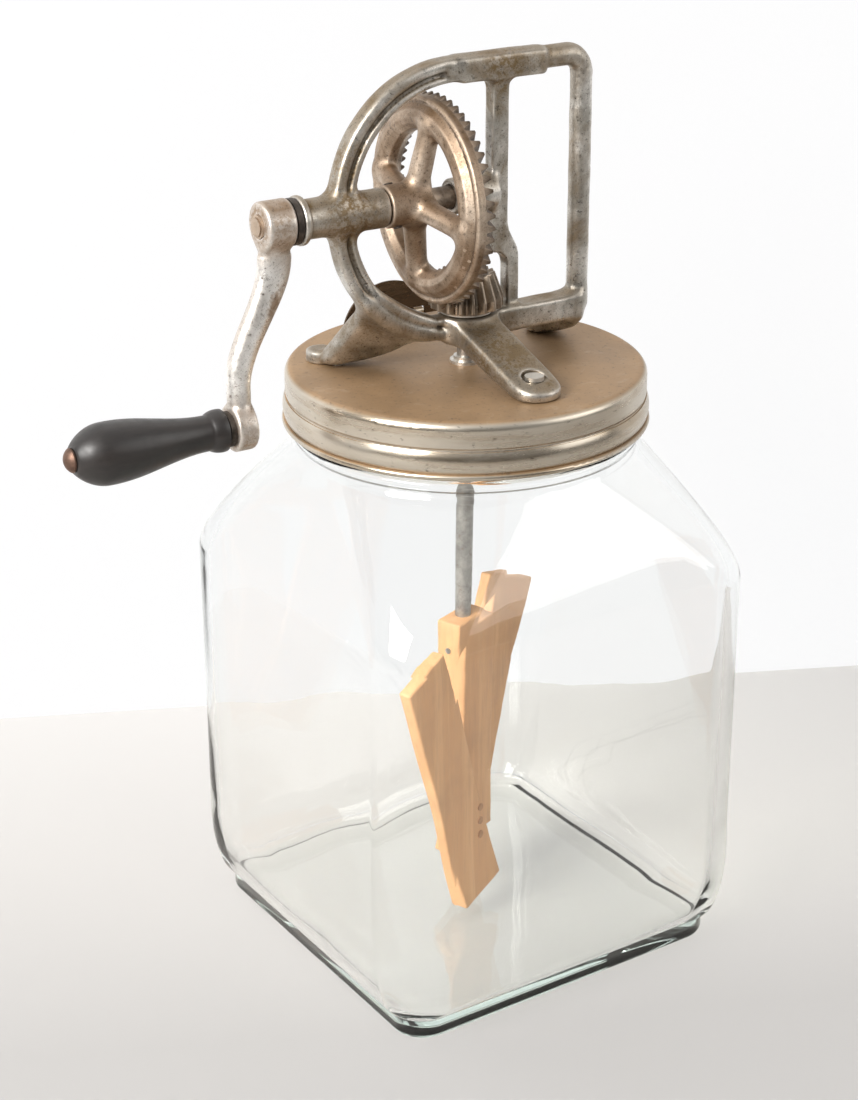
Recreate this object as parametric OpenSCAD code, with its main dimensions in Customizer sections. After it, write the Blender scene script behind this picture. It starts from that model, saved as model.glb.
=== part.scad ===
// Glass jar butter churn: a square glass jar, a screw cap that carries a cast gear frame,
// a hand crank with a bevel wheel and pinion, and a wooden dasher that hangs in the jar.
// Millimetres, +Z up. The origin is the middle of the jar's foot.
// +X runs along the crank shaft, from the crank towards the hand grip of the frame.

/* [Jar] */
// Width of the jar body across its flats
jar_w = 157; // [148:0.5:170]
// Width across the foot
foot_w = 139.5; // [130:0.5:146]
// Corner radius of the jar body
jar_corner_r = 22; // [16:1:30]
// Corner radius of the foot
foot_corner_r = 12; // [8:1:15]
// Turn of the jar under the cap, where its thread stops
jar_turn = 2.6; // [-20:0.2:20]
// Thickness of the glass in the walls
glass_t = 4; // [3:0.5:5]
// Thickness of the glass in the floor
floor_t = 7; // [6:0.5:12]
// Height at which the shoulder starts
body_h = 150; // [140:1:180]
// Height of the shoulder
shoulder_h = 50; // [44:1:60]
// Height of the round neck
neck_h = 24.5; // [24:0.5:28]
// Outer diameter of the neck without its thread
neck_d = 122; // [118:1:126]
// Height of the thread's ridge
thread_h = 2; // [1:0.1:2.4]
// Pitch of the thread
thread_pitch = 6; // [5:0.5:7]

/* [Cap] */
// Height of the cap's skirt
skirt_h = 20.5; // [18:0.5:22]
// Thickness of the cap's sheet
sheet_t = 0.9; // [0.7:0.1:1.2]
// Gap between the thread's ridge and the cap
cap_gap = 1.1; // [0.9:0.1:2]
// Radius of the cap's top edge
cap_edge_r = 3; // [1.6:0.1:4]
// Height of the rolled bead on the skirt
bead_h = 7.8; // [6:0.2:8.2]
// Thickness of the sealing ring
seal_t = 1.6; // [1:0.1:3]

/* [Pour flap] */
// Distance of the hinge inwards from the jar's mouth
hinge_in = 1.4; // [0.6:0.1:3]
// Length of the flap along its hinge
flap_w = 40; // [36:1:42]
// Depth of the flap from its hinge to its round edge
flap_d = 13.5; // [12.5:0.5:16]
// Angle that the flap stands open
flap_open = 98; // [80:1:120]
// Margin of the flap round the pour hole
flap_lap = 3; // [2:0.5:4]

/* [Gear frame] */
// Height of the base bar above the cap
leg_rise = 9.3; // [8:0.1:13]
// Height of the base bar
base_bar_h = 9.5; // [8:0.5:12]
// Width of the base bar
base_bar_w = 10; // [8:0.5:12]
// Diameter of the arch, top bar and hand grip
bar_d = 8.2; // [7:0.2:9]
// Room between the wheel's pitch circle and the arch's centre line
arch_room = 7; // [6.4:0.2:10]
// Distance of the arch's centre from the dasher's axis
arch_off = 6.6; // [5:0.1:9]
// Distance of the hand grip from the dasher's axis
handle_x = 47.4; // [42:0.2:54]
// Radius of the bend at the top of the hand grip
handle_bend_r = 7; // [5.5:0.5:10]
// Distance of the post from the dasher's axis
post_x = 12.5; // [12:0.1:14]
// Width of the post
post_w = 7; // [6:0.2:8]
// Thickness of the post
post_t = 6; // [5:0.5:9]
// Diameter of the crank bearing
bearing_d = 14; // [12.5:0.5:16]
// Distance of the crank bearing's outer end from the dasher's axis
bearing_out = 67.3; // [64:0.1:74]
// Distance of the crank bearing's inner end from the dasher's axis
bearing_in = 33.5; // [30:0.5:36]
// Distance of the rivets inwards from the jar's mouth
rivet_in = 10.4; // [8.4:0.1:14]
// Thickness of the feet
foot_t = 4.8; // [4:0.2:6]

/* [Gears] */
// Pitch radius of the wheel at its outer edge
wheel_r = 36.5; // [34:0.5:40]
// Teeth of the wheel for each tooth of the pinion
gear_ratio = 3; // [3:1:4]
// Teeth of the pinion
pinion_teeth = 18; // [16:1:20]
// Width of the teeth along the wheel's radius
face_w = 8.6; // [7:0.2:10]
// Radius of the wheel's opening inside its rim
rim_in_r = 24; // [22:0.5:26]
// Diameter of the wheel's hub
wheel_hub_d = 15; // [13:0.5:16]
// Thickness of the wheel's spokes
spoke_d = 7.6; // [6:0.2:9]

/* [Crank] */
// Diameter of the crank shaft
shaft_d = 8; // [6.5:0.1:9]
// Distance from the shaft to the grip
crank_r = 68.6; // [60:0.2:80]
// How far the arm leans outwards
crank_lean = 15.2; // [8:0.2:20]
// Diameter of the crank's boss
crank_boss_d = 17; // [15:0.5:20]
// Length of the crank's boss
crank_boss_l = 11; // [8:0.5:14]
// Width of the arm
arm_w = 12.6; // [10:0.2:14]
// Length of the grip
grip_l = 55; // [45:1:65]
// Largest diameter of the grip
grip_d = 21.4; // [18:0.2:26]
// Diameter of the grip's neck
grip_neck_d = 12.4; // [11:0.2:14]
// Diameter of the grip's spindle
spindle_d = 5; // [4:0.2:6]

/* [Dasher] */
// Diameter of the dasher's rod
rod_d = 6.4; // [5:0.1:7.5]
// Width of the dasher's block along the slats
block_w = 20; // [16:0.5:22]
// Thickness of the dasher's block between the slats
block_t = 11; // [10:0.5:14]
// Length of the block
block_l = 92; // [84:1:98]
// How far the block reaches below the middle of the slats
block_low = 32; // [30:1:36]
// Length of the slats
slat_l = 112; // [90:1:116]
// Width of the slats
slat_w = 24; // [22:1:28]
// Thickness of the slats
slat_t = 5.5; // [5:0.5:8]
// Lean of the slats
slat_lean = 18; // [14:1:22]
// How far the middle of a slat lies beside the middle of the block
slat_off = 22; // [18:0.5:23]
// How much higher the back slat sits
slat_step = 8; // [0:1:20]
// Gap between the slats and the jar's floor
floor_gap = 3; // [3:0.5:20]
// Turn of the dasher about its rod
dasher_turn = 23; // [-90:1:90]

/* [Fits] */
// Radial gap of a shaft that turns in its bearing
run_gap = 0.06; // [0.03:0.01:0.09]
// Radial gap of a pin that is fixed in its hole
pin_gap = 0.02; // [0.01:0.01:0.03]
// Gap between pieces that move past each other
move_gap = 0.35; // [0.3:0.05:0.5]

/* [Hidden] */
$fn = 64;
hull_fn = 32;

// Heights, from the table up
neck_z = body_h + shoulder_h;
rim_z = neck_z + neck_h;
seal_gap = 0.1;
cap_in_z = rim_z + seal_t;
cap_z = cap_in_z + sheet_t;
base_z = cap_z + leg_rise;
base_top = base_z + base_bar_h;
washer_t = 0.8;
pinion_base_t = 4.6;
pinion_z = base_top + washer_t + pinion_base_t + move_gap;
shaft_z = pinion_z + wheel_r;
grip_z = shaft_z - crank_r;

// Jar
neck_r = neck_d / 2;
neck_t = glass_t + 0.6;
mouth_r = neck_r - neck_t;
jar_sides = 10;
corner_in_r = jar_corner_r - glass_t + 1;
heel_z = 9;
heel_h = 38;
heel_start = 24;
shoulder_soft = 0.34;
ring_bead_h = 1.6;
rim_round = 1.2;
thread_z = neck_z + 7.5;
thread_from = 0.3;
thread_to = 1.9;

// Cap
cap_in_r = neck_r + thread_h + cap_gap;
cap_r = cap_in_r + sheet_t;
bead_z = cap_z - skirt_h + 6.1;
curl_r = 1.1;
groove_r = 1;
rod_room = 2.4;

// Pour flap, a round plate cut by a straight edge at the hinge
pin_d = 1.6;
knuckle_r = 1.55;
hinge_y = mouth_r - hinge_in;
hinge_z = cap_z + knuckle_r + move_gap;
flap_r = (pow(flap_w / 2, 2) + pow(flap_d, 2)) / (2 * flap_d);
flap_centre = hinge_y + flap_r - flap_d;
hole_edge_y = hinge_y - flap_lap;
knuckle_l = 20;
ear_l = 4;
screen_lap = 1.2;

// Gear frame
bar_r = bar_d / 2;
arch_r = wheel_r + arch_room;
arch_z = shaft_z + 1;
arch_sink = 0.8;
arch_past = 1;
arch_drop = 4;
arch_low_z = arch_z - arch_drop;
arch_low_r = arch_low_z - (base_top - bar_r - arch_sink);
arch_low_x = arch_low_r - arch_r - arch_off;
top_z = arch_z + arch_r;
web_w = 6;
web_d = bar_r + 0.4;
plate_x0 = -4.5;
plate_l = 35;
plate_low = 5.2;
plate_high = 4.6;
plate_w = bar_d + 1.4;
flange_t = 2.6;
oil_hole_d = 2.4;
flange_d = bearing_d + 3.5;
post_in = post_x - post_w / 2;
post_out = post_x + post_w / 2;
inner_bearing_x = -7;
inner_bearing_d = 13;
inner_bore_x = post_in - 1;
hub_r = 10;
leg_w = 7;
leg_inset = 0.7;
leg_angles = [222, 255];
leg_half = hub_r - leg_inset;
rivet_reach = mouth_r - rivet_in;
side_foot_r = 8;
front_foot_r = 10;
left_foot = [rivet_reach * cos(153), rivet_reach * sin(153)];
left_heel = 0.7 * left_foot;
heel_r = 7;
heel_rise = 2.5;
left_toe = left_foot + [-2.5, 7.6];
toe_r = 5.5;
toe_t = 4.4;
right_foot = [rivet_reach * cos(20), rivet_reach * sin(20)];
front_foot = [0.8, -rivet_reach + 2.5];
side_feet = [left_foot, right_foot];
feet = concat(side_feet, [front_foot]);
rivet_d = 4.2;
rivet_top_d = 6.8;
rivet_top_h = 1.4;
side_stud_h = foot_t - 1.4;
front_seat_z = cap_z + foot_t + 1;

// Gears: both pitch cones meet at one point where the two axes cross
wheel_teeth = gear_ratio * pinion_teeth;
wheel_cone = atan(gear_ratio);
pinion_cone = 90 - wheel_cone;
cone_out = wheel_r / sin(wheel_cone);
cone_in = cone_out * (1 - face_w / wheel_r);
gear_module = 2 * wheel_r / wheel_teeth;
tip_part = 0.85;
root_part = 1.2;
half_tooth_part = 0.215;
tip_slope = tip_part * gear_module / cone_out;
root_slope = root_part * gear_module / cone_out;
half_tooth = half_tooth_part * PI * gear_module / cone_out;
flank = 20;
tooth_sink = 0.4 / cone_out;
pinion_top = shaft_z - cone_in * cos(pinion_cone);
pinion_tip_r = cone_out * (sin(pinion_cone) + tip_slope * cos(pinion_cone));
collar_h = 4;
collar_r = 5.8;
cross_pin_d = 2;
window_top = pinion_top + collar_h + 1.6;
bulge_in = pinion_tip_r + 2.4;
bulge_out = bulge_in + 5;
hub_x0 = -bearing_in + move_gap;
hub_x1 = -(wheel_r / gear_ratio + 4.8);
wheel_pin_x = hub_x0 + 3.8;
wheel_pin_d = 3;
wheel_pin_turn = -25;
spoke_turn = 10;
spoke_x = hub_x1 - 4.5;

// Crank
crank_washer_t = 2.2;
boss_x1 = -bearing_out - move_gap - crank_washer_t;
boss_x0 = boss_x1 - crank_boss_l;
boss_x = (boss_x0 + boss_x1) / 2;
eye_x = boss_x - crank_lean;
eye_t = 7.8;
eye_d = 17;
grip_washer_t = 2;
grip_x1 = eye_x - eye_t / 2 - grip_washer_t - move_gap;
grip_x0 = grip_x1 - grip_l;
grip_flange_d = grip_neck_d + 2.6;
rivet_head_r = 4.2;
arm_t = 8.6;
bend_from = 0.16;
bend_to = 0.78;
arm_inset = 0.3;
arm_grow = 0.5;

// Dasher
slat_drop = slat_l / 2 * cos(slat_lean) + slat_w / 2 * sin(slat_lean);
slat_z = floor_t + floor_gap + slat_drop;
block_z = slat_z - block_low;
block_top = block_z + block_l;
nail_d = 2;
nail_head_d = 3;
nail_head_t = 0.5;
nail_l = slat_t + 4;
nail_z = slat_z - 22;
nail_x = 6.2;
nail_step = 6;
rod_z0 = nail_z + slat_step + nail_step + 10;
rod_z1 = pinion_top + collar_h + 1;
dasher_pin_z = block_top - 12;
dasher_pin_d = 2.5;

glass_c = [0.80, 0.88, 0.84, 0.35];
tin_c = [0.62, 0.57, 0.50];
iron_c = [0.66, 0.64, 0.60];
brown_iron_c = [0.60, 0.53, 0.45];
steel_c = [0.72, 0.72, 0.72];
black_c = [0.13, 0.12, 0.12];
copper_c = [0.50, 0.34, 0.27];
wood_c = [0.80, 0.60, 0.42];
rubber_c = [0.45, 0.22, 0.16];

// A rod along X between two places
module x_rod(d, x0, x1) {
    translate([x0, 0, 0]) rotate([0, 90, 0]) cylinder(d = d, h = x1 - x0);
}

// A rod along Z between two heights
module z_rod(d, z0, z1) {
    translate([0, 0, z0]) cylinder(d = d, h = z1 - z0);
}

// A flat shape drawn in X and Z, extruded evenly to both sides of the frame's plane
module upright(t) {
    rotate([90, 0, 0]) linear_extrude(t, center = true) children();
}

// A closed skin over rings of points, from the first ring to the last
module skin(rings) {
    n = len(rings[0]);
    m = len(rings);
    sides = [for (k = [0 : m - 2], i = [0 : n - 1])
        each let (a = k * n + i, b = k * n + (i + 1) % n, c = b + n, d = a + n)
            [[a, d, b], [b, d, c]]];
    first = [for (i = [0 : n - 1]) i];
    last = [for (i = [n - 1 : -1 : 0]) (m - 1) * n + i];
    polyhedron([for (ring = rings, p = ring) p], concat(sides, [first, last]));
}

// A ring round a square with rounded corners, at one height
function square_ring(z, half, r) = [for (q = [0 : 3], i = [0 : jar_sides - 1])
    let (a = 90 * q + 90 * i / (jar_sides - 1), c = half - r, s = 90 * q + 45)
        [sign(cos(s)) * c + r * cos(a), sign(sin(s)) * c + r * sin(a), z]];

// A ring round the neck, with the thread's ridge where the screw line passes
function neck_ring(z, r) = [for (p = square_ring(z, r, r - 0.3))
    let (turn = atan2(p[1], p[0]) / 360, rise = (z - thread_z) / thread_pitch - turn,
        near = rise - round(rise), on = rise > thread_from && rise < thread_to ? 1 : 0,
        ridge = on * thread_h * pow(max(0, cos(180 * near)), 4), k = 1 + ridge / r)
        [p[0] * k, p[1] * k, z]];

function shoulder(t) = (1 + shoulder_soft) * t * t / (t + shoulder_soft);
function between(a, b, t) = a + (b - a) * t;

// The outside of the jar from its foot to the rim, and the inside from the rim to the floor
function jar_outside() = concat(
    [square_ring(0, foot_w / 2 - 2.5, foot_corner_r - 1.5),
        square_ring(0.7, foot_w / 2 - 0.8, foot_corner_r - 0.5),
        square_ring(2.5, foot_w / 2, foot_corner_r)],
    [for (a = [heel_start : (90 - heel_start) / 7 : 90.1])
        square_ring(heel_z + heel_h * (1 - cos(a - heel_start)) / (1 - cos(90 - heel_start)),
            between(foot_w / 2, jar_w / 2, (sin(a) - sin(heel_start)) / (1 - sin(heel_start))),
            between(foot_corner_r, jar_corner_r, (a - heel_start) / (90 - heel_start)))],
    [for (t = [0 : 0.1 : 1.001])
        square_ring(body_h + shoulder_h * t * 0.98, between(jar_w / 2, neck_r, shoulder(t)),
            between(jar_corner_r, neck_r - 0.3, shoulder(t)))],
    [for (a = [0 : 45 : 180])
        neck_ring(neck_z + 2.6 - 2 * cos(a), neck_r + ring_bead_h * sin(a) + 0.1)],
    [for (z = [neck_z + 6 : 1.25 : rim_z - 2.4]) neck_ring(z, neck_r)],
    [neck_ring(rim_z - rim_round, neck_r), neck_ring(rim_z - rim_round / 4, neck_r - rim_round / 3),
        neck_ring(rim_z, neck_r - rim_round)]);

function jar_inside() = concat(
    [neck_ring(rim_z, mouth_r + rim_round), neck_ring(rim_z - rim_round / 4, mouth_r + rim_round / 3),
        neck_ring(rim_z - rim_round, mouth_r), neck_ring(neck_z + 2, mouth_r)],
    [for (t = [1 : -0.1 : -0.001])
        square_ring(body_h - 1 + shoulder_h * t * 0.96,
            between(jar_w / 2 - glass_t, mouth_r, shoulder(t)),
            between(corner_in_r, mouth_r - 0.3, shoulder(t)))],
    [for (a = [90 : -15 : 0])
        square_ring(floor_t + (heel_h - 6) * (1 - cos(a)),
            between(foot_w / 2 - glass_t - 5, jar_w / 2 - glass_t, sin(a)),
            between(foot_corner_r + 2, corner_in_r, a / 90))]);

module jar() {
    color(glass_c) rotate([0, 0, jar_turn]) skin(concat(jar_outside(), jar_inside()));
}

module sealing_ring() {
    color(rubber_c) difference() {
        z_rod(2 * neck_r + 1, rim_z + seal_gap, cap_in_z);
        z_rod(2 * mouth_r + 1, rim_z - 1, cap_in_z + 1);
    }
}

// Half of the cap's section, with a round top edge
module cap_section(r, z0, z1, edge) {
    translate([0, z0]) square([r, z1 - z0 - edge]);
    translate([0, z0]) square([r - edge, z1 - z0]);
    translate([r - edge, z1 - edge]) circle(edge);
}

// The pour hole, larger or smaller by a margin
module pour_hole(z0, z1, grow) {
    intersection() {
        translate([0, flap_centre, 0]) z_rod(2 * (flap_r - flap_lap + grow), z0, z1);
        translate([-flap_w, 0, z0]) cube([2 * flap_w, hole_edge_y + grow, z1 - z0]);
    }
}

module cap() {
    color(tin_c) difference() {
        union() {
            rotate_extrude() difference() {
                cap_section(cap_r, cap_z - skirt_h, cap_z, cap_edge_r);
                translate([0, -sheet_t])
                    cap_section(cap_in_r, cap_z - skirt_h, cap_z, cap_edge_r - sheet_t);
                translate([cap_r + groove_r / 2, bead_z + bead_h / 2 + groove_r / 2]) circle(groove_r);
            }
            rotate_extrude() intersection() {
                translate([cap_r - bead_h, bead_z]) circle(bead_h + 1);
                translate([cap_r - 0.5, bead_z - bead_h / 2]) square([3, bead_h]);
            }
            rotate_extrude() translate([cap_r + 0.2, cap_z - skirt_h + curl_r]) circle(curl_r);
        }
        z_rod(rod_d + rod_room, cap_in_z - 1, cap_z + 1);
        for (p = feet) translate(p) z_rod(rivet_d, cap_in_z - 1, cap_z + 1);
        pour_hole(cap_in_z - 1, cap_z + 1, 0);
    }
}

module strainer_screen() {
    screen_t = 0.5;
    pitch = 2.6;
    color(steel_c) difference() {
        pour_hole(cap_in_z - screen_t, cap_in_z, screen_lap);
        for (i = [-5 : 5], j = [0 : 2])
            let (x = pitch * (i + (j % 2) / 2), y = hole_edge_y - 1.6 - pitch * j)
                if (x * x + pow(y - flap_centre, 2) < pow(flap_r - flap_lap - 1, 2))
                    translate([x, y, 0]) z_rod(1.5, cap_in_z - 1, cap_in_z + 1);
    }
}

// Places things in the hinge's own frame, with X along the pin
module at_hinge() {
    translate([0, hinge_y, hinge_z]) children();
}

module flap_bracket() {
    color(tin_c) at_hinge() difference() {
        for (s = [-1, 1]) {
            x0 = s > 0 ? knuckle_l / 2 + move_gap : -knuckle_l / 2 - move_gap - ear_l;
            x_rod(2 * knuckle_r, x0, x0 + ear_l);
            translate([x0, 0, cap_z - hinge_z]) cube([ear_l, knuckle_r, hinge_z - cap_z]);
            translate([x0, 0, cap_z - hinge_z]) cube([ear_l, 6, sheet_t]);
        }
        x_rod(pin_d + 2 * pin_gap, -flap_w, flap_w);
    }
}

module flap_pin() {
    reach = knuckle_l / 2 + move_gap + ear_l + 0.4;
    color(steel_c) at_hinge() x_rod(pin_d, -reach, reach);
}

module pour_flap() {
    color(brown_iron_c) at_hinge() rotate([-flap_open, 0, 0]) difference() {
        union() {
            x_rod(2 * knuckle_r, -knuckle_l / 2, knuckle_l / 2);
            intersection() {
                translate([0, flap_centre - hinge_y, -knuckle_r]) cylinder(r = flap_r, h = sheet_t);
                translate([-flap_w, -2 * flap_d, -knuckle_r]) cube([2 * flap_w, 2 * flap_d + 1, sheet_t]);
            }
        }
        x_rod(pin_d + 2 * run_gap, -flap_w, flap_w);
        for (s = [-1, 1]) {
            ear_room = ear_l + 2 * move_gap;
            translate([s * (knuckle_l + ear_room) / 2, 0, 0])
                cube([ear_room, 2 * (knuckle_r + move_gap), 2 * flap_d], center = true);
        }
    }
}

// Section of the arch at its radius: a round outer bar and a flat web inside it
module arch_section(r) {
    translate([r, 0]) circle(bar_r);
    translate([r - web_d, -web_w / 2]) square([web_d, web_w]);
}

module arch_piece(r, from, sweep) {
    rotate([90, 0, 0]) rotate([0, 0, from]) rotate_extrude(angle = sweep) arch_section(r);
}

module post() {
    upright(post_t) polygon([
        [post_in, top_z], [post_out, top_z], [post_out, window_top + 9], [bulge_out, window_top],
        [bulge_out, base_z + 1], [bulge_in, base_z + 1], [bulge_in, window_top - 3],
        [bulge_in - 3, window_top], [post_in, window_top]]);
}

// The round end of a leg, flat on the cap
module foot(place, r) {
    translate([place[0], place[1], cap_z]) cylinder(r = r, h = foot_t, $fn = hull_fn);
}

module left_leg() {
    hull() {
        for (a = leg_angles)
            translate([arch_low_x + arch_low_r * cos(a), 0, arch_low_z + arch_low_r * sin(a)])
                rotate([90, 0, 0]) cylinder(r = bar_r - leg_inset, h = leg_w, center = true, $fn = hull_fn);
        foot(left_foot, side_foot_r);
        translate([0, 0, heel_rise]) foot(left_heel, heel_r);
    }
    translate(left_toe) z_rod(2 * toe_r, cap_z, cap_z + toe_t);
}

module right_leg() {
    hull() {
        translate([handle_x - 2, 0, cap_z + foot_t])
            cylinder(r = bar_r, h = base_top - leg_inset - cap_z - foot_t, $fn = hull_fn);
        foot(right_foot, side_foot_r);
    }
}

module front_leg() {
    hull() {
        translate([-leg_half, -leg_half, base_z + leg_inset])
            cube([2 * leg_half, leg_half, base_bar_h - 2 * leg_inset]);
        foot(front_foot, front_foot_r);
    }
}

module gear_frame() {
    color(iron_c) difference() {
        union() {
            translate([-arch_off, 0, arch_z]) arch_piece(arch_r, 90, 90);
            translate([-arch_off, 0, arch_low_z]) linear_extrude(arch_drop) mirror([1, 0]) arch_section(arch_r);
            translate([arch_low_x, 0, arch_low_z]) arch_piece(arch_low_r, 180, 90 + arch_past);
            translate([0, 0, top_z]) {
                x_rod(bar_d, -arch_off, handle_x - handle_bend_r);
                translate([handle_x - handle_bend_r, 0, -handle_bend_r]) rotate([90, 0, 0])
                    rotate_extrude(angle = 90) translate([handle_bend_r, 0]) circle(bar_r);
                translate([plate_x0, -plate_w / 2, -plate_low])
                    cube([plate_l, plate_w, plate_low + plate_high]);
            }
            translate([handle_x, 0, 0]) z_rod(bar_d, base_z, top_z - handle_bend_r);
            post();
            translate([arch_low_x, -base_bar_w / 2, base_z])
                cube([handle_x - arch_low_x, base_bar_w, base_bar_h]);
            z_rod(2 * hub_r, base_z, base_top);
            left_leg();
            right_leg();
            front_leg();
            translate([0, 0, shaft_z]) {
                x_rod(bearing_d, -bearing_out, -bearing_in);
                x_rod(flange_d, -bearing_out, -bearing_out + flange_t);
                x_rod(inner_bearing_d, inner_bearing_x, post_in + 1);
            }
        }
        translate([0, 0, shaft_z]) {
            x_rod(shaft_d + 2 * run_gap, -bearing_out - 1, inner_bore_x);
            translate([-bearing_out + flange_t + 4, 0, 0]) rotate([110, 0, 0])
                cylinder(d = oil_hole_d, h = bearing_d);
        }
        z_rod(rod_d + 2 * run_gap, cap_z, base_top + 1);
        for (p = side_feet) translate(p) z_rod(rivet_d, cap_z - 1, cap_z + side_stud_h + move_gap);
        translate(front_foot) {
            z_rod(rivet_d, cap_z - 1, front_seat_z + 1);
            z_rod(rivet_top_d + 2, front_seat_z, base_top);
        }
    }
}

// Two studs that end inside the side feet, and one rivet that goes right through the front foot
module frame_rivets() {
    tail_h = 1;
    shank_d = rivet_d - 2 * pin_gap;
    color(steel_c) {
        for (p = feet) translate(p) z_rod(rivet_d + 3, cap_in_z - tail_h, cap_in_z);
        for (p = side_feet) translate(p) z_rod(shank_d, cap_in_z - tail_h, cap_z + side_stud_h);
        translate(front_foot) {
            z_rod(shank_d, cap_in_z - tail_h, front_seat_z + rivet_top_h);
            z_rod(rivet_top_d, front_seat_z, front_seat_z + rivet_top_h);
        }
    }
}

module shaft_ferrule() {
    flange_h = 1;
    color(steel_c) difference() {
        union() {
            z_rod(rod_d + rod_room - 2 * pin_gap, cap_in_z - 2, cap_z + 2.4);
            z_rod(rod_d + 5, cap_z, cap_z + flange_h);
        }
        z_rod(rod_d + 2 * run_gap, cap_in_z - 3, cap_z + 3);
    }
}

module crank_shaft() {
    end_x = inner_bore_x - 2 * move_gap;
    color(steel_c) translate([0, 0, shaft_z]) difference() {
        union() {
            x_rod(shaft_d, boss_x0 - 0.6, end_x);
            x_rod(shaft_d - 1.6, boss_x0 - 1.2, boss_x0);
        }
        translate([wheel_pin_x, 0, 0]) rotate([wheel_pin_turn, 0, 0])
            cylinder(d = wheel_pin_d + 2 * pin_gap, h = 2 * shaft_d, center = true);
    }
}

module crank_washer() {
    color(black_c) translate([0, 0, shaft_z]) difference() {
        x_rod(flange_d - 1.5, boss_x1, boss_x1 + crank_washer_t);
        x_rod(shaft_d + 2 * pin_gap, boss_x1 - 1, boss_x1 + crank_washer_t + 1);
    }
}

// Half width of the arm at a part of its length, never wider than the boss or the eye beside it
function arm_half(t, u) = min(between(arm_w / 2, arm_w / 2 - 2, u * u),
    crank_boss_l / 2 - arm_inset + arm_grow * max(0, t * crank_r - crank_boss_d / 2),
    eye_t / 2 - arm_inset + arm_grow * max(0, (1 - t) * crank_r - eye_d / 2));

// The arm's S-bend, as oval rings from the boss down to the eye
function arm_rings() = [for (k = [0 : 16])
    let (t = k / 16, u = min(1, max(0, (t - bend_from) / (bend_to - bend_from))), s = u * u * (3 - 2 * u),
        half = arm_half(t, u))
        [for (i = [0 : 19])
            [between(boss_x, eye_x, s) + half * cos(18 * i), arm_t / 2 * sin(18 * i),
                between(shaft_z, grip_z, t)]]];

module crank_arm() {
    color(iron_c) difference() {
        union() {
            skin([for (k = [16 : -1 : 0]) arm_rings()[k]]);
            translate([0, 0, shaft_z]) x_rod(crank_boss_d, boss_x0, boss_x1);
            translate([0, 0, grip_z]) x_rod(eye_d, eye_x - eye_t / 2, eye_x + eye_t / 2);
        }
        translate([0, 0, shaft_z]) x_rod(shaft_d + 2 * pin_gap, boss_x0 - 10, boss_x1 + 10);
        translate([0, 0, grip_z]) x_rod(spindle_d + 2 * pin_gap, eye_x - eye_t, eye_x + eye_t);
    }
}

module grip_spindle() {
    color(copper_c) translate([0, 0, grip_z]) {
        x_rod(spindle_d, grip_x0 - 1, eye_x + eye_t / 2 + 0.8);
        intersection() {
            translate([grip_x0 + 2.2 - move_gap, 0, 0]) sphere(r = rivet_head_r + 0.8);
            x_rod(2 * rivet_head_r, grip_x0 - 9, grip_x0 - move_gap);
        }
    }
}

module grip_washer() {
    color(black_c) translate([0, 0, grip_z]) difference() {
        x_rod(grip_neck_d, grip_x1 + move_gap, grip_x1 + move_gap + grip_washer_t);
        x_rod(spindle_d + 2 * pin_gap, grip_x1, grip_x1 + 5);
    }
}

// Radius of the grip along its length, from the crank's end to the free end
function grip_radius(u) =
    let (belly = between(grip_neck_d, grip_d, pow(sin(180 * max(0, u - 0.12) / 1.3), 2)) / 2,
        lip_u = min(1, abs(u - 0.035) / 0.075),
        lip = (grip_flange_d - grip_neck_d) / 2 * pow(max(0, cos(90 * lip_u)), 0.7),
        round_end = u < 0.8 ? 1 : sqrt(1 - pow((u - 0.8) / 0.235, 2)))
        (belly + lip) * round_end;

module grip() {
    bore_r = spindle_d / 2 + run_gap;
    color(black_c) translate([grip_x1, 0, grip_z]) rotate([0, -90, 0]) rotate_extrude() polygon(concat(
        [[bore_r, 0]],
        [for (k = [0 : 30]) [grip_radius(k / 30), grip_l * k / 30]],
        [[bore_r, grip_l]]));
}

// One tooth that tapers towards the point where the cones meet, with the tip away from the gear's body
module tooth(cone) {
    along = [sin(cone), 0, cos(cone)];
    out = [cos(cone), 0, -sin(cone)];
    low = -root_slope - tooth_sink;
    corners = [for (g = [cone_in, cone_out], n = [low, tip_slope], s = [-1, 1])
        g * (along + n * out + [0, s * (half_tooth - n * tan(flank)), 0])];
    polyhedron(corners, [[2, 3, 1, 0], [5, 7, 6, 4], [1, 5, 4, 0], [6, 7, 3, 2], [4, 6, 2, 0], [3, 7, 5, 1]]);
}

// A point on a gear's section: distance along the cone and slope away from it
function cone_point(cone, g, n) = [g * (sin(cone) + n * cos(cone)), g * (cos(cone) - n * sin(cone))];

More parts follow.
